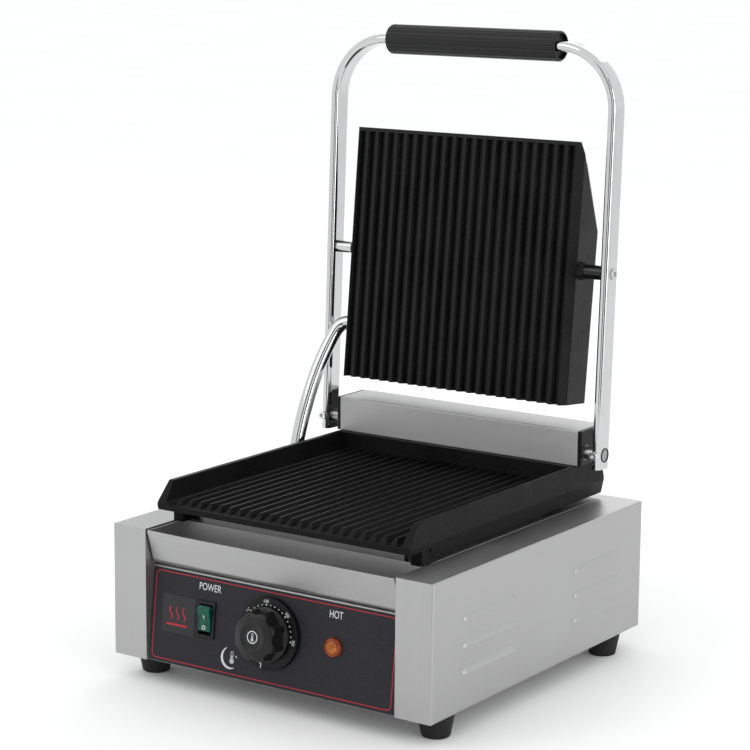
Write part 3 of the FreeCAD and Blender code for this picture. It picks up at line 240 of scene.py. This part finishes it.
def steel(name, along, tone=0.435, rough=(0.36, 0.5)):
    """Satin stainless sheet with fine brushing along one axis, and faces across it brushed upright."""
    paint = Paint(name, metallic=1.0)
    fine, drawn_out = 900, 9
    lines = [fine, fine, fine]
    lines["xyz".index(along)] = drawn_out
    brushed = paint.noise(1, 4, paint.stretched(lines), 0.6)
    upright = paint.noise(1, 4, paint.stretched((fine, fine, drawn_out)), 0.6)
    normal = paint.nodes.new("ShaderNodeNewGeometry").outputs["True Normal"]
    split = paint.nodes.new("ShaderNodeSeparateXYZ")
    paint.links.new(normal, split.inputs["Vector"])
    facing = paint.nodes.new("ShaderNodeMath")
    facing.operation = "ABSOLUTE"
    paint.links.new(split.outputs["xyz".index(along)], facing.inputs[0])
    across = paint.ramp(facing.outputs["Value"], 0, 1, 0.6, 0.7)
    grain = paint.pick(across, brushed, upright)
    cloud = paint.noise(14, 3)
    both = paint.sum(grain, cloud, 0.5)
    paint.colour_between(
        (tone * 0.93, tone * 0.93, tone * 0.92), (tone * 1.07, tone * 1.07, tone * 1.07), both)
    paint.rough_between(*rough, both)
    return paint.bump(grain, 0.00002, 0.35).material


def cast_iron(name, specular):
    """Black seasoned iron: sandy skin, dull with small glints, and drier patches."""
    paint = Paint(name, specular=specular)
    sand = paint.noise(1150, 4, rough=0.72)
    pits = paint.cells(560)
    patches = paint.noise(26, 4)
    skin = paint.sum(sand, pits, 0.45)
    paint.colour_between((0.0015, 0.0015, 0.0017), (0.0105, 0.0105, 0.011), paint.sum(skin, patches, 0.5))
    paint.rough_between(0.24, 0.6, paint.sum(sand, patches, 0.5))
    return paint.bump(skin, 0.00042, 1.0).material


def chrome(name, shade=0.6, rough=0.045):
    paint = Paint(name, metallic=1.0)
    smear = paint.noise(60, 4)
    paint.colour_between((shade * 0.94,) * 3, (shade, shade, shade * 1.01), smear)
    paint.rough_between(rough, rough + 0.07, paint.noise(1, 4, paint.stretched((500, 500, 30))))
    return paint.bump(paint.noise(140, 2), 0.00002, 0.2).material


def plastic(name, colour, rough, grain=900, depth=0.00004, specular=0.5, lift=1.5):
    """Moulded plastic with a fine spark-eroded grain."""
    paint = Paint(name, specular=specular)
    fine = paint.noise(grain, 3, rough=0.65)
    broad = paint.noise(35, 3)
    paint.colour_between(colour, tuple(part * lift for part in colour), paint.sum(fine, broad, 0.5))
    paint.rough_between(rough - 0.06, rough + 0.1, paint.sum(fine, broad, 0.5))
    return paint.bump(fine, depth, 0.5).material


def film():
    """The printed film: near-black blue with a leather-like grain that catches the light in dots."""
    paint = Paint("film_print", specular=0.22)
    grain = paint.cells(1150)
    fine = paint.noise(2200, 2)
    both = paint.sum(grain, fine, 0.5)
    paint.colour_between((0.0065, 0.0062, 0.0085), (0.021, 0.0205, 0.027), both, 0.25, 0.65)
    paint.rough_between(0.38, 0.6, both)
    return paint.bump(grain, 0.00009, 0.6).material


def ink(name, colour):
    paint = Paint(name, roughness=0.5, specular=0.3)
    paint.colour_between(
        tuple(part * 0.86 for part in colour), colour, paint.noise(1400, 3, rough=0.7), 0.25, 0.6)
    return paint.bump(paint.noise(1800, 2), 0.00002, 0.4).material


def clear_plastic(name, dark, bright, transmission, rough=0.16, specular=0.4):
    """Tinted see-through plastic, uneven where it is thick."""
    paint = Paint(name, roughness=rough, specular=specular)
    paint.set("Transmission Weight", transmission)
    paint.set("IOR", 1.49)
    streaks = paint.noise(260, 4)
    paint.colour_between(dark, bright, streaks, 0.35, 0.65)
    return paint.bump(paint.noise(420, 2), 0.00006, 0.35).material


def wool():
    paint = Paint("rock_wool", roughness=0.95, specular=0.1)
    fibres = paint.noise(1, 5, paint.stretched((160, 160, 1400)), 0.7)
    paint.colour_between((0.36, 0.32, 0.2), (0.66, 0.62, 0.47), fibres)
    return paint.bump(fibres, 0.0006, 0.9).material


def heat_tinted():
    paint = Paint("heat_tinted_steel", metallic=1.0)
    tint = paint.noise(22, 4)
    paint.colour_between((0.16, 0.13, 0.11), (0.36, 0.3, 0.24), tint)
    paint.rough_between(0.3, 0.55, paint.noise(400, 3))
    return paint.bump(paint.noise(700, 3), 0.00004, 0.4).material


def rubber():
    paint = Paint("rubber_black", specular=0.3)
    dust = paint.noise(90, 5, rough=0.7)
    paint.colour_between((0.006, 0.006, 0.0065), (0.024, 0.024, 0.024), dust, 0.35, 0.8)
    paint.rough_between(0.55, 0.8, dust)
    return paint.bump(paint.noise(900, 3), 0.00008, 0.5).material


# ---------------------------------------------------------------- mesh helpers


def add_piece(name, shape, material, body, matrix=None, smooth=35, replaces=()):
    """Make a bmesh into a piece that rides on a body; smooth is the angle up to which edges are soft."""
    bmesh.ops.remove_doubles(shape, verts=shape.verts, dist=1e-7)
    bmesh.ops.recalc_face_normals(shape, faces=shape.faces)
    mesh = bpy.data.meshes.new(name)
    shape.to_mesh(mesh)
    shape.free()
    if matrix is not None:
        mesh.transform(matrix)
    if smooth:
        mesh.shade_smooth()
        mesh.set_sharp_from_angle(angle=math.radians(smooth))
    mesh.materials.append(material)
    piece = bpy.data.objects.new(name, mesh)
    scene.collection.objects.link(piece)
    if body:
        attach(piece, body)
    if replaces:
        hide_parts(*replaces)
    return piece


def soften(piece, width, segments=2, angle=35):
    """Round a CAD node's or a piece's sharp edges a little, without making it larger."""
    weld = piece.modifiers.new("weld", "WELD")
    weld.merge_threshold = 0.000002
    flat = piece.modifiers.new("flat", "DECIMATE")
    flat.decimate_type = "DISSOLVE"
    flat.angle_limit = math.radians(0.6)
    bevel = piece.modifiers.new("bevel", "BEVEL")
    bevel.width = width
    bevel.segments = segments
    bevel.limit_method = "ANGLE"
    bevel.angle_limit = math.radians(angle)
    bevel.use_clamp_overlap = True
    bevel.harden_normals = True


def slab(shape, loop, low, high):
    """A flat plate through a closed loop of points, from one height to another."""
    bottom = [shape.verts.new((x, y, low)) for x, y in loop]
    top = [shape.verts.new((x, y, high)) for x, y in loop]
    shape.faces.new(top)
    shape.faces.new(list(reversed(bottom)))
    join_loops(shape, bottom, top)


def join_loops(shape, first, second):
    count = len(first)
    for i in range(count):
        shape.faces.new((first[i], first[(i + 1) % count], second[(i + 1) % count], second[i]))


def band(shape, outer, inner, low, high):
    """A closed band between two loops with the same number of points."""
    rings = [
        [shape.verts.new((x, y, z)) for x, y in loop]
        for loop, z in ((outer, low), (outer, high), (inner, high), (inner, low))]
    for i in range(4):
        join_loops(shape, rings[i], rings[(i + 1) % 4])


def at_clock(angle, radius, centre=DIAL):
    """A point at a clockwise angle, in degrees from the top of a circle."""
    angle = math.radians(angle)
    return centre[0] + radius * math.sin(angle), centre[1] + radius * math.cos(angle)


def round_loop(centre, radius, count):
    """Points of a circle, clockwise from the top."""
    return [at_clock(360 * i / count, radius, centre) for i in range(count)]


def rounded_loop(low, high, radius, per_corner=8):
    """Points of a rectangle with round corners, anticlockwise from its upper right corner."""
    points = []
    corners = ((high[0], high[1], 0), (low[0], high[1], 90), (low[0], low[1], 180), (high[0], low[1], 270))
    for x, y, turn in corners:
        round_x = x - math.copysign(radius, x - (low[0] + high[0]) / 2)
        round_y = y - math.copysign(radius, y - (low[1] + high[1]) / 2)
        for i in range(per_corner + 1):
            angle = math.radians(turn + 90 * i / per_corner)
            points.append((round_x + radius * math.cos(angle), round_y + radius * math.sin(angle)))
    return points


def lathe(shape, profile, count, wave=None):
    """Turn a profile of (radius, height) about Z; wave changes a radius by its angle and height."""
    rings = []
    for radius, height in profile:
        if radius < 1e-6:
            rings.append([shape.verts.new((0, 0, height))])
            continue
        ring = []
        for i in range(count):
            angle = 2 * math.pi * i / count
            size = wave(radius, angle, height) if wave else radius
            ring.append(shape.verts.new((size * math.cos(angle), size * math.sin(angle), height)))
        rings.append(ring)
    for first, second in zip(rings, rings[1:]):
        if len(first) == 1:
            for i in range(count):
                shape.faces.new((first[0], second[i], second[(i + 1) % count]))
        elif len(second) == 1:
            for i in range(count):
                shape.faces.new((first[i], first[(i + 1) % count], second[0]))
        else:
            join_loops(shape, first, second)


def lettering(shape, words, middle, width, height, low, high, turn=0.0):
    """Stand flat letters in a shape, fitted into a width and height about a point."""
    data = bpy.data.curves.new("words", "FONT")
    data.body = words
    data.resolution_u = 4
    data.extrude = 0.5
    holder = bpy.data.objects.new("words", data)
    scene.collection.objects.link(holder)
    bpy.context.view_layer.update()
    mesh = bpy.data.meshes.new_from_object(holder.evaluated_get(bpy.context.evaluated_depsgraph_get()))
    bpy.data.objects.remove(holder)
    xs = [vert.co.x for vert in mesh.vertices]
    ys = [vert.co.y for vert in mesh.vertices]
    fit = Matrix.Diagonal((width / (max(xs) - min(xs)), height / (max(ys) - min(ys)), high - low, 1))
    centred = Matrix.Translation((-(max(xs) + min(xs)) / 2, -(max(ys) + min(ys)) / 2, 0.5))
    mesh.transform(
        Matrix.Translation((middle[0], middle[1], low)) @ Matrix.Rotation(math.radians(-turn), 4, "Z")
        @ fit @ centred)
    shape.from_mesh(mesh)
    bpy.data.meshes.remove(mesh)


# ---------------------------------------------------------------- the control panel


# The knob's joint gives the panel's outward direction and the dial's centre.
outward = -Vector(joints["knob_turn"]["axis"]).normalized()
up_panel = outward.cross(Vector((1, 0, 0)))
panel_foot = Vector(joints["knob_turn"]["pos_m"]) - up_panel * (DIAL[1] * MM)
panel_turn = Matrix((
    (1, 0, 0, 0), (0, up_panel.y, outward.y, 0), (0, up_panel.z, outward.z, 0), (0, 0, 0, 1)))
on_panel = Matrix.Translation(panel_foot) @ panel_turn @ Matrix.Scale(MM, 4)
on_dial = on_panel @ Matrix.Translation((*DIAL, 0))


def thermometer(shape, middle, height, low, high):
    """A thermometer sign: a rounded outline with a filled bulb and stem."""
    x, y = middle
    half = height * 0.13
    bulb = height * 0.2
    foot = y - height / 2 + bulb

    def around(size):
        loop = []
        stem = half * size
        bottom = bulb * size
        gap = math.degrees(math.asin(min(0.99, stem / bottom)))
        for i in range(17):
            angle = math.radians(90 - gap - (360 - 2 * gap) * i / 16)
            loop.append((x + bottom * math.cos(angle), foot + bottom * math.sin(angle)))
        for i in range(9):
            angle = math.radians(180 - 180 * i / 8)
            loop.append((x + stem * math.cos(angle), y + height / 2 - half + stem * math.sin(angle)))
        return loop

    band(shape, around(1), around(0.68), low, high)
    slab(shape, round_loop((x, foot), bulb * 0.5, 16), low, high)
    slab(shape, [
        (x - half * 0.32, foot), (x + half * 0.32, foot), (x + half * 0.32, y + height * 0.16),
        (x - half * 0.32, y + height * 0.16)], low, high)


def panel_prints():
    """The red outline, the words, the crescent with its thermometer, and the scale on the dial."""
    low, high = FILM_TOP - PRINT_DEPTH, FILM_TOP + PRINT_HEIGHT
    red = bmesh.new()
    outside = rounded_loop((-109.6, 3.2), (109.6, 70.4), 4.2)
    inside = rounded_loop((-108.95, 3.85), (108.95, 69.75), 3.6)
    band(red, outside, inside, low, high)
    add_piece("red_outline", red, red_ink, "base", on_panel, 0)

    white = bmesh.new()
    lettering(white, "POWER", (-57.6, 64.4), 20.4, 5.5, low, high)
    lettering(white, "HOT", (57.4, 63.8), 11.6, 5.5, low, high)
    # The crescent is thick on the left and fades out at both ends.
    middle, radius, steps = (-35.6, 15.2), 8.2, 24
    outer, inner = [], []
    for i in range(steps + 1):
        share = i / steps
        angle = -215 + 195 * share
        thick = 1.9 * math.sin(math.pi * share) ** 0.7 + 0.14
        outer.append(at_clock(angle, radius, middle))
        inner.append(at_clock(angle, radius - thick, middle))
    slab(white, outer + list(reversed(inner)), low, high)
    thermometer(white, (-33.6, 16), 9.4, low, high)
    slab(white, [(-30.6, 17.6), (-30, 18), (-28.6, 16.6), (-29.1, 16.2)], low, high)
    add_piece("white_print", white, white_ink, "base", on_panel, 0)

    low, high = DIAL_TOP - PRINT_DEPTH, DIAL_TOP + PRINT_HEIGHT
    scale = bmesh.new()
    first, step, dots_at = -6, 10.2, 21.6
    large_dot, small_dot = 0.68, 0.5
    for i in range(-4, 11):
        dot = large_dot if i in (0, 5, 10) else small_dot
        slab(scale, round_loop(at_clock(first + step * i, dots_at), dot, 12), low, high)
    slab(scale, round_loop(at_clock(-62, dots_at), small_dot, 12), low, high)
    for words, angle in (("100", -6), ("200", 45), ("300", 96)):
        lettering(scale, words, at_clock(angle, 24.1), 4.3, 2.4, low, high, angle)
    lettering(scale, "C", at_clock(-49, 23.7), 1.7, 2.4, low, high, -49)
    ring_at = at_clock(-54.2, 24.3)
    band(scale, round_loop(ring_at, 0.55, 12), round_loop(ring_at, 0.28, 12), low, high)
    # The off mark, a short line with a hook.
    for corners in (((188.2, 22.6), (188.2, 26), (189.8, 26), (189.8, 22.6)),
                    ((189.8, 22.4), (189.8, 23.1), (193, 23.1), (193, 22.4))):
        slab(scale, [at_clock(angle, radius) for angle, radius in corners], low, high)
    add_piece("dial_scale", scale, white_ink, "base", on_panel, 0)


def label_sign():
    """A generic warmth sign on the small label: three rising waves over a bar."""
    low, high = LABEL_TOP - PRINT_DEPTH, LABEL_TOP + 0.06
    sign = bmesh.new()
    steps, foot, rise, sway = 16, 34.5, 10.5, 1.3
    for middle in (-93.2, -87, -80.8):
        left, right = [], []
        for i in range(steps + 1):
            y = foot + rise * i / steps
            x = middle + sway * math.sin(2 * math.pi * i / steps)
            wide = 0.25 + 0.35 * math.sin(math.pi * i / steps)
            left.append((x - wide, y))
            right.append((x + wide, y))
        slab(sign, left + list(reversed(right)), low, high)
    slab(sign, rounded_loop((-97, 30.4), (-77, 32), 0.7, 4), low, high)
    add_piece("label_sign", sign, red_ink, "base", on_panel, 0)


def dial_disc():
    """The dial's disc, with a rounded edge and a shallow ledge under the knob's skirt."""
    disc = bmesh.new()
    lathe(disc, [
        (6.2, 0.42), (26.9, 0.42), (27, 0.6), (27, 3.7), (26.8, 4.15), (26.4, 4.37), (26, DIAL_TOP),
        (20.9, DIAL_TOP), (20.7, 4.2), (6.2, 4.2), (6.2, 0.42)], 128)
    add_piece("dial_disc", disc, dial_plastic, "base", on_dial, 35, ["dial_plate"])


def knob():
    """The moulded knob: a round skirt, a body with eight flutes, and a sloping cap with a dish."""
    profile = [
        (3.1, 4.6), (20.1, 4.6), (20.4, 4.9), (20.5, 6.6), (20.3, 7.3), (19.8, 7.65), (19.3, 7.9),
        (19.2, 8.6), (19.1, 11), (18.9, 14), (18.7, 17), (18.5, 18.8), (18.1, 19.9), (17.3, 20.7),
        (16, 21.25), (14, 21.8), (12, 22.4), (11.1, 22.72), (10.5, 22.84), (10, 22.78), (9.6, 22.55),
        (9.2, 22.3), (6, 22.15), (0, 22.1)]
    shaft_hole = [(3.1, 4.6), (3.1, 13.8), (0, 13.8)]
    around = 160
    flute_at, flute_radius, flute_foot = 24.6, 8.0, 8.2
    half_pitch = math.pi / 8

    def fluted(radius, angle, height):
        """The radius cut by the nearest flute, with a soft edge."""
        turn = (angle + half_pitch) % (2 * half_pitch) - half_pitch
        offset = flute_at * math.sin(turn)
        if height < flute_foot or abs(offset) >= flute_radius:
            return radius
        over = radius - (flute_at * math.cos(turn) - math.sqrt(flute_radius ** 2 - offset ** 2))
        return radius - 0.5 * (over + math.sqrt(over * over + 0.3)) if over > -1.5 else radius

    shape = bmesh.new()
    lathe(shape, profile, around, fluted)
    lathe(shape, shaft_hole, around)
    add_piece("knob_body", shape, knob_plastic, "knob", on_dial, 40, ["thermostat_knob"])

    sign = bmesh.new()
    low, high = 22.08, 22.24
    band(sign, round_loop((0, 0), 4.7, 48), round_loop((0, 0), 4, 48), low, high)
    thermometer(sign, (0, 0), 6.2, low, high)
    slab(sign, [at_clock(angle, radius, (0, 0)) for angle, radius in (
        (186.4, 19.75), (186.4, 20.56), (187.8, 20.56), (187.8, 19.75))], 5.4, 7.7)
    add_piece("knob_print", sign, white_ink, "knob", on_dial, 0)


def rocker():
    """The see-through rocker, tipped to off, with its line and ring."""
    tilt = max(joints["switch_rocker"]["range_deg"]) / 2
    middle = on_panel.inverted() @ Vector(joints["switch_rocker"]["pos_m"])
    stand = on_panel @ Matrix.Translation(middle) @ Matrix.Rotation(math.radians(tilt), 4, "X")
    half_width = 5.45
    half_side = [
        (0, 1.4), (4, 2.35), (7, 3.2), (7.9, 3.1), (8.6, 2.3), (9.6, 0.9), (10.5, -0.4), (9.6, -2), (6, -6.9)]
    side = [(-y, z) for y, z in reversed(half_side[1:])] + half_side
    shape = bmesh.new()
    left = [shape.verts.new((-half_width, y, z)) for y, z in side]
    right = [shape.verts.new((half_width, y, z)) for y, z in side]
    shape.faces.new(left)
    shape.faces.new(list(reversed(right)))
    join_loops(shape, left, right)
    rims = [edge for edge in shape.edges if edge.verts[0].co.x == edge.verts[1].co.x]
    bmesh.ops.bevel(shape, geom=rims, offset=0.5, segments=3, affect="EDGES", profile=0.6)
    add_piece("rocker_body", shape, green_plastic, "rocker", stand, 30, ["switch_rocker"])

    slope = math.atan2(3.2 - 1.4, 7)
    low, high = -0.1, 0.12
    marks = bmesh.new()
    for y, turn, line in ((2.6, slope, True), (-5.3, -slope, False)):
        before = set(marks.verts)
        if line:
            slab(marks, [(-0.35, -1.6), (0.35, -1.6), (0.35, 1.6), (-0.35, 1.6)], low, high)
        else:
            band(marks, round_loop((0, 0), 1.65, 24), round_loop((0, 0), 1.1, 24), low, high)
        put = Matrix.Translation((0, y, 1.4 + abs(y) * math.tan(slope))) @ Matrix.Rotation(turn, 4, "X")
        for vert in marks.verts:
            if vert not in before:
                vert.co = put @ vert.co
    add_piece("rocker_marks", marks, white_ink, "rocker", stand, 0)


def lamp():
    """The amber lens: a bright collar round a flat front covered with small pyramids."""
    low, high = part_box("lamp_lens")
    centre = on_panel @ Matrix.Translation(((low.x + high.x) / 2 / MM, LAMP_HEIGHT, 0))
    lens = bmesh.new()
    lathe(lens, [
        (0, 0.62), (7.1, 0.62), (7.2, 0.8), (7.15, 1.8), (6.9, 2.6), (6.4, 3.3), (5.8, 3.75), (5.3, 3.85),
        (5.05, 3.6), (5, 3.3), (2.5, 3.42), (0, 3.46)], 64)
    add_piece("lamp_lens_body", lens, amber_plastic, "base", centre, 30, ["lamp_lens"])
    studs = bmesh.new()
    pitch, reach = 1.3, 4.5
    corners = ((-1, -1), (1, -1), (1, 1), (-1, 1))
    for i in range(-4, 5):
        for j in range(-4, 5):
            x, y = i * pitch, j * pitch
            if math.hypot(x, y) > reach:
                continue
            foot, crown = (
                [studs.verts.new((x + a * half, y + b * half, z)) for a, b in corners]
                for half, z in ((0.56, 3.25), (0.2, 3.98)))
            studs.faces.new(crown)
            studs.faces.new(list(reversed(foot)))
            join_loops(studs, foot, crown)
    # The pyramids take a brighter copy of the lens's amber: painted highlight.
    add_piece("lamp_lens_studs", studs, amber_painted_highlight, "base", centre, 0)


# ---------------------------------------------------------------- other pieces


def wiring_tube():
    """The steel wiring tube in two lengths."""
    low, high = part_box("wiring_conduit")
    width, around = 0.0116, 32
    x0 = low.x + width / 2
    y0 = low.y + width / 2
    route = [
        (x0, y0, low.z), (x0, y0, low.z + 0.012), (x0, y0 + 0.005, low.z + 0.03),
        (x0 + 0.0008, y0 + 0.015, low.z + 0.055), (x0 + 0.003, y0 + 0.0275, low.z + 0.082),
        (x0 + 0.0075, y0 + 0.0405, low.z + 0.1045), (high.x - 0.0125, y0 + 0.0478, low.z + 0.1155),
        (high.x - 0.004, y0 + 0.0502, low.z + 0.1169), (high.x, y0 + 0.0502, low.z + 0.1169)]
    data = bpy.data.curves.new("wiring_line", "CURVE")
    data.dimensions = "3D"
    line = data.splines.new("NURBS")
    line.points.add(len(route) - 1)
    for point, where in zip(line.points, route):
        point.co = (*where, 1)
    line.order_u = 4
    line.use_endpoint_u = True
    line.resolution_u = 10
    holder = bpy.data.objects.new("wiring_line", data)
    scene.collection.objects.link(holder)
    bpy.context.view_layer.update()
    path = [vert.co.copy() for vert in bpy.data.meshes.new_from_object(holder).vertices]
    bpy.data.objects.remove(holder)
    split_height = low.z + 0.107
    split = min(range(len(path)), key=lambda i: abs(path[i].z - split_height))
    for name, part in (("wiring_tube_low", path[:split + 1]), ("wiring_tube_high", path[split:])):
        shape = bmesh.new()
        rings = []
        side = Vector((1, 0, 0))
        for i, point in enumerate(part):
            heading = (part[min(i + 1, len(part) - 1)] - part[max(i - 1, 0)]).normalized()
            side = (side - heading * side.dot(heading)).normalized()
            other = heading.cross(side)
            turns = [2 * math.pi * k / around for k in range(around)]
            rings.append([
                shape.verts.new(point + (side * math.cos(turn) + other * math.sin(turn)) * (width / 2))
                for turn in turns])
        for first, second in zip(rings, rings[1:]):
            join_loops(shape, first, second)
        shape.faces.new(rings[-1])
        shape.faces.new(list(reversed(rings[0])))
        tube = add_piece(name, shape, tube_chrome, None, None, 50)
        if name.endswith("low"):
            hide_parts("wiring_conduit")
            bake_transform(tube)
        else:
            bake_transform(tube)


def facing_out(x, line, side):
    """A stand in millimetres on a side's face, whose Z points away from the middle along a joint's line."""
    turn = Matrix.Rotation(math.radians(90 * side), 4, "Y")
    return Matrix.Translation((x, line.y, line.z)) @ turn @ Matrix.Scale(MM, 4)


def lid_bosses():
    """Cast bosses on the lid's sides, round the sleeves of the pivot."""
    low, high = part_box("upper_plate")
    pivot = Vector(joints["plate_pivot"]["pos_m"])
    for name, side, x in (("left", -1, low.x), ("right", 1, high.x)):
        shape = bmesh.new()
        lathe(shape, [
            (5.75, -0.5), (7.4, -0.5), (7.0, 0.4), (6.6, 3.6), (6.2, 4.4), (5.75, 4.4), (5.75, -0.5)], 48)
        add_piece(f"lid_boss_{name}", shape, iron, "lid", facing_out(x, pivot, side), 30)


def axle_seam_shades():
    """Dark rings round the axle's ends, on the outer faces of the arms: painted shade for the seam round each
    axle end.
    """
    axle = Vector(joints["handle_hinge"]["pos_m"])
    low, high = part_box("handle_tube")
    for name, side, x in (("left", -1, low.x), ("right", 1, high.x)):
        shape = bmesh.new()
        lathe(shape, [
            (4.75, 0.02), (5.6, 0.02), (5.7, 0.12), (5.65, 0.42), (5.5, 0.5), (4.85, 0.5), (4.75, 0.42),
            (4.75, 0.02)], 48)
        add_piece(f"axle_seam_shade_{name}", shape, seam_shade_black, "arm", facing_out(x, axle, side), 30)


def rear_screws():
    """Dished round screw heads near the rear sheet's corners."""
    low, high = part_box("back_panel")
    backward = Matrix.Rotation(math.radians(-90), 4, "X") @ Matrix.Scale(MM, 4)
    shape = bmesh.new()
    for x in (-0.106, 0.106):
        for z in (low.z + 0.0085, low.z + 0.0905):
            head = bmesh.new()
            lathe(head, [(3.3, 0), (3.3, 0.7), (3.0, 1.3), (2.2, 1.85), (1.1, 2.1), (0.7, 1.5), (0, 1.3)], 24)
            mesh = bpy.data.meshes.new("head")
            head.to_mesh(mesh)
            head.free()
            mesh.transform(Matrix.Translation((x, high.y - 0.0001, z)) @ backward)
            shape.from_mesh(mesh)
            bpy.data.meshes.remove(mesh)
    add_piece("rear_screw_heads", shape, screw_zinc, "base", None, 35)


def paint_nodes():
    """Give every CAD node its material, and soften the edges of those that show."""
    finishes = {
        "side_panel_right": side_steel, "side_panel_left": side_steel, "deck_plate": cross_steel,
        "back_panel": cross_steel, "bottom_plate": cross_steel, "rubber_feet": foot_rubber,
        "foot_screws": screw_zinc, "control_panel": cross_steel, "panel_overlay": film_black,
        "blank_label": label_grey, "switch_housing": housing_plastic, "switch_rocker": green_plastic,
        "dial_plate": dial_plastic, "thermostat_knob": knob_plastic, "thermostat_shaft": screw_zinc,
        "thermostat_body": pale_plastic, "lamp_lens": amber_plastic, "lamp_holder": housing_plastic,
        "terminal_block": pale_plastic, "cord_inlet_bush": housing_plastic, "thermostat_probe": tinted_steel,
        "drip_tray": cross_steel, "tray_shelf": cross_steel, "lower_plate": lower_iron_painted_shade,
        "plate_pegs": lower_iron_painted_shade, "lower_element": tinted_steel, "reflector_pan": cross_steel,
        "lower_insulation": wool_mat, "hinge_block": iron, "hinge_cover": hinge_steel_painted_light, "hinge_axle": axle_zinc_painted_shade,
        "hinge_bushes": bush_metal_painted_shade, "counter_springs": tinted_steel, "handle_tube": handle_chrome,
        "grip": grip_plastic, "arm_lock_screws": lock_zinc, "pivot_bolts": screw_zinc,
        "pivot_sleeve_left": tube_chrome, "pivot_sleeve_right": sleeve_plastic, "upper_plate": iron,
        "upper_cover": cover_steel, "upper_element": tinted_steel, "upper_insulation": wool_mat,
        "cover_screws": screw_zinc,
        "wiring_conduit": tube_chrome, "conduit_collar_base": tube_chrome,
    }
    for name, node in frame["nodes"].items():
        node.data.materials.clear()
        node.data.materials.append(finishes[name])
    softened = {
        "lower_plate": 0.0007, "upper_plate": 0.0007, "hinge_block": 0.0008, "plate_pegs": 0.0006,
        "hinge_cover": 0.0003, "drip_tray": 0.0003, "control_panel": 0.0003, "upper_cover": 0.0003,
        "deck_plate": 0.0003, "back_panel": 0.0003, "switch_housing": 0.0003, "blank_label": 0.0001,
        "side_panel_left": 0.0004, "side_panel_right": 0.0004,
    }
    for name, width in softened.items():
        soften(frame["nodes"][name], width)


side_steel = steel("side_steel", "y")
cross_steel = steel("cross_steel", "x")
cover_steel = steel("cover_steel", "z")
# The hinge cover's steel is a lighter copy of the same stainless (tone 0.57 against 0.435): painted light that
# makes up for the dark plate it reflects.
hinge_steel_painted_light = steel("hinge_steel_painted_light", "x", 0.57, (0.58, 0.7))
iron = cast_iron("seasoned_iron", 0.19)
# The same seasoned iron with less specular, so the lower plate reads darker than the lid's plate: painted
# shade.
lower_iron_painted_shade = cast_iron("lower_iron_painted_shade", 0.1)
handle_chrome = chrome("handle_chrome")
tube_chrome = chrome("tube_chrome", 0.6, 0.09)
film_black = film()
red_ink = ink("red_ink", (0.41, 0.017, 0.025))
white_ink = ink("white_ink", (0.62, 0.63, 0.64))
label_grey = plastic("label_grey", (0.02, 0.02, 0.022), 0.5, 1500, 0.00002, 0.25)
housing_plastic = plastic("housing_plastic", (0.005, 0.005, 0.0054), 0.42, specular=0.25)
dial_plastic = plastic("dial_plastic", (0.003, 0.003, 0.0034), 0.36, specular=0.2)
knob_plastic = plastic("knob_plastic", (0.005, 0.005, 0.0055), 0.32, 700, 0.00005, 0.32)
grip_plastic = plastic("grip_plastic", (0.007, 0.007, 0.0075), 0.38, 500, 0.00005, 0.3)
sleeve_plastic = plastic("sleeve_plastic", (0.005, 0.005, 0.0055), 0.2, 500, 0.00003, 0.35)
pale_plastic = plastic("pale_plastic", (0.6, 0.59, 0.53), 0.45, 600, 0.00004, 0.5, 1.2)
green_plastic = clear_plastic("green_plastic", (0.0, 0.045, 0.022), (0.0, 0.135, 0.08), 0.2, 0.2, 0.25)
amber_plastic = clear_plastic("amber_plastic", (0.2, 0.028, 0.002), (0.38, 0.062, 0.005), 0.25)
# A brighter copy of the lens's amber, for its pyramids: painted highlight.
amber_painted_highlight = clear_plastic("amber_painted_highlight", (0.6, 0.2, 0.03), (0.8, 0.36, 0.08), 0.2)
screw_zinc = chrome("screw_zinc", 0.6, 0.24)
# A darker copy of the screw zinc, so the axle shows dark between the hinge block and the arm: painted shade.
axle_zinc_painted_shade = chrome("axle_zinc_painted_shade", 0.34, 0.3)
lock_zinc = chrome("lock_zinc", 0.74, 0.13)
# Near black: painted shade for the seams round the axle ends.
seam_shade_black = chrome("seam_shade_black", 0.05, 0.4)
# The hinge bushes take a near-black grey instead of bronze, so their ends at the hinge show dark: painted
# shade.
bush_metal_painted_shade = chrome("bush_painted_shade", 0.16, 0.35)
tinted_steel = heat_tinted()
wool_mat = wool()
foot_rubber = rubber()

make_camera()
make_studio()
paint_nodes()
panel_prints()
label_sign()
dial_disc()
knob()
rocker()
lamp()
lid_bosses()
axle_seam_shades()
wiring_tube()
rear_screws()
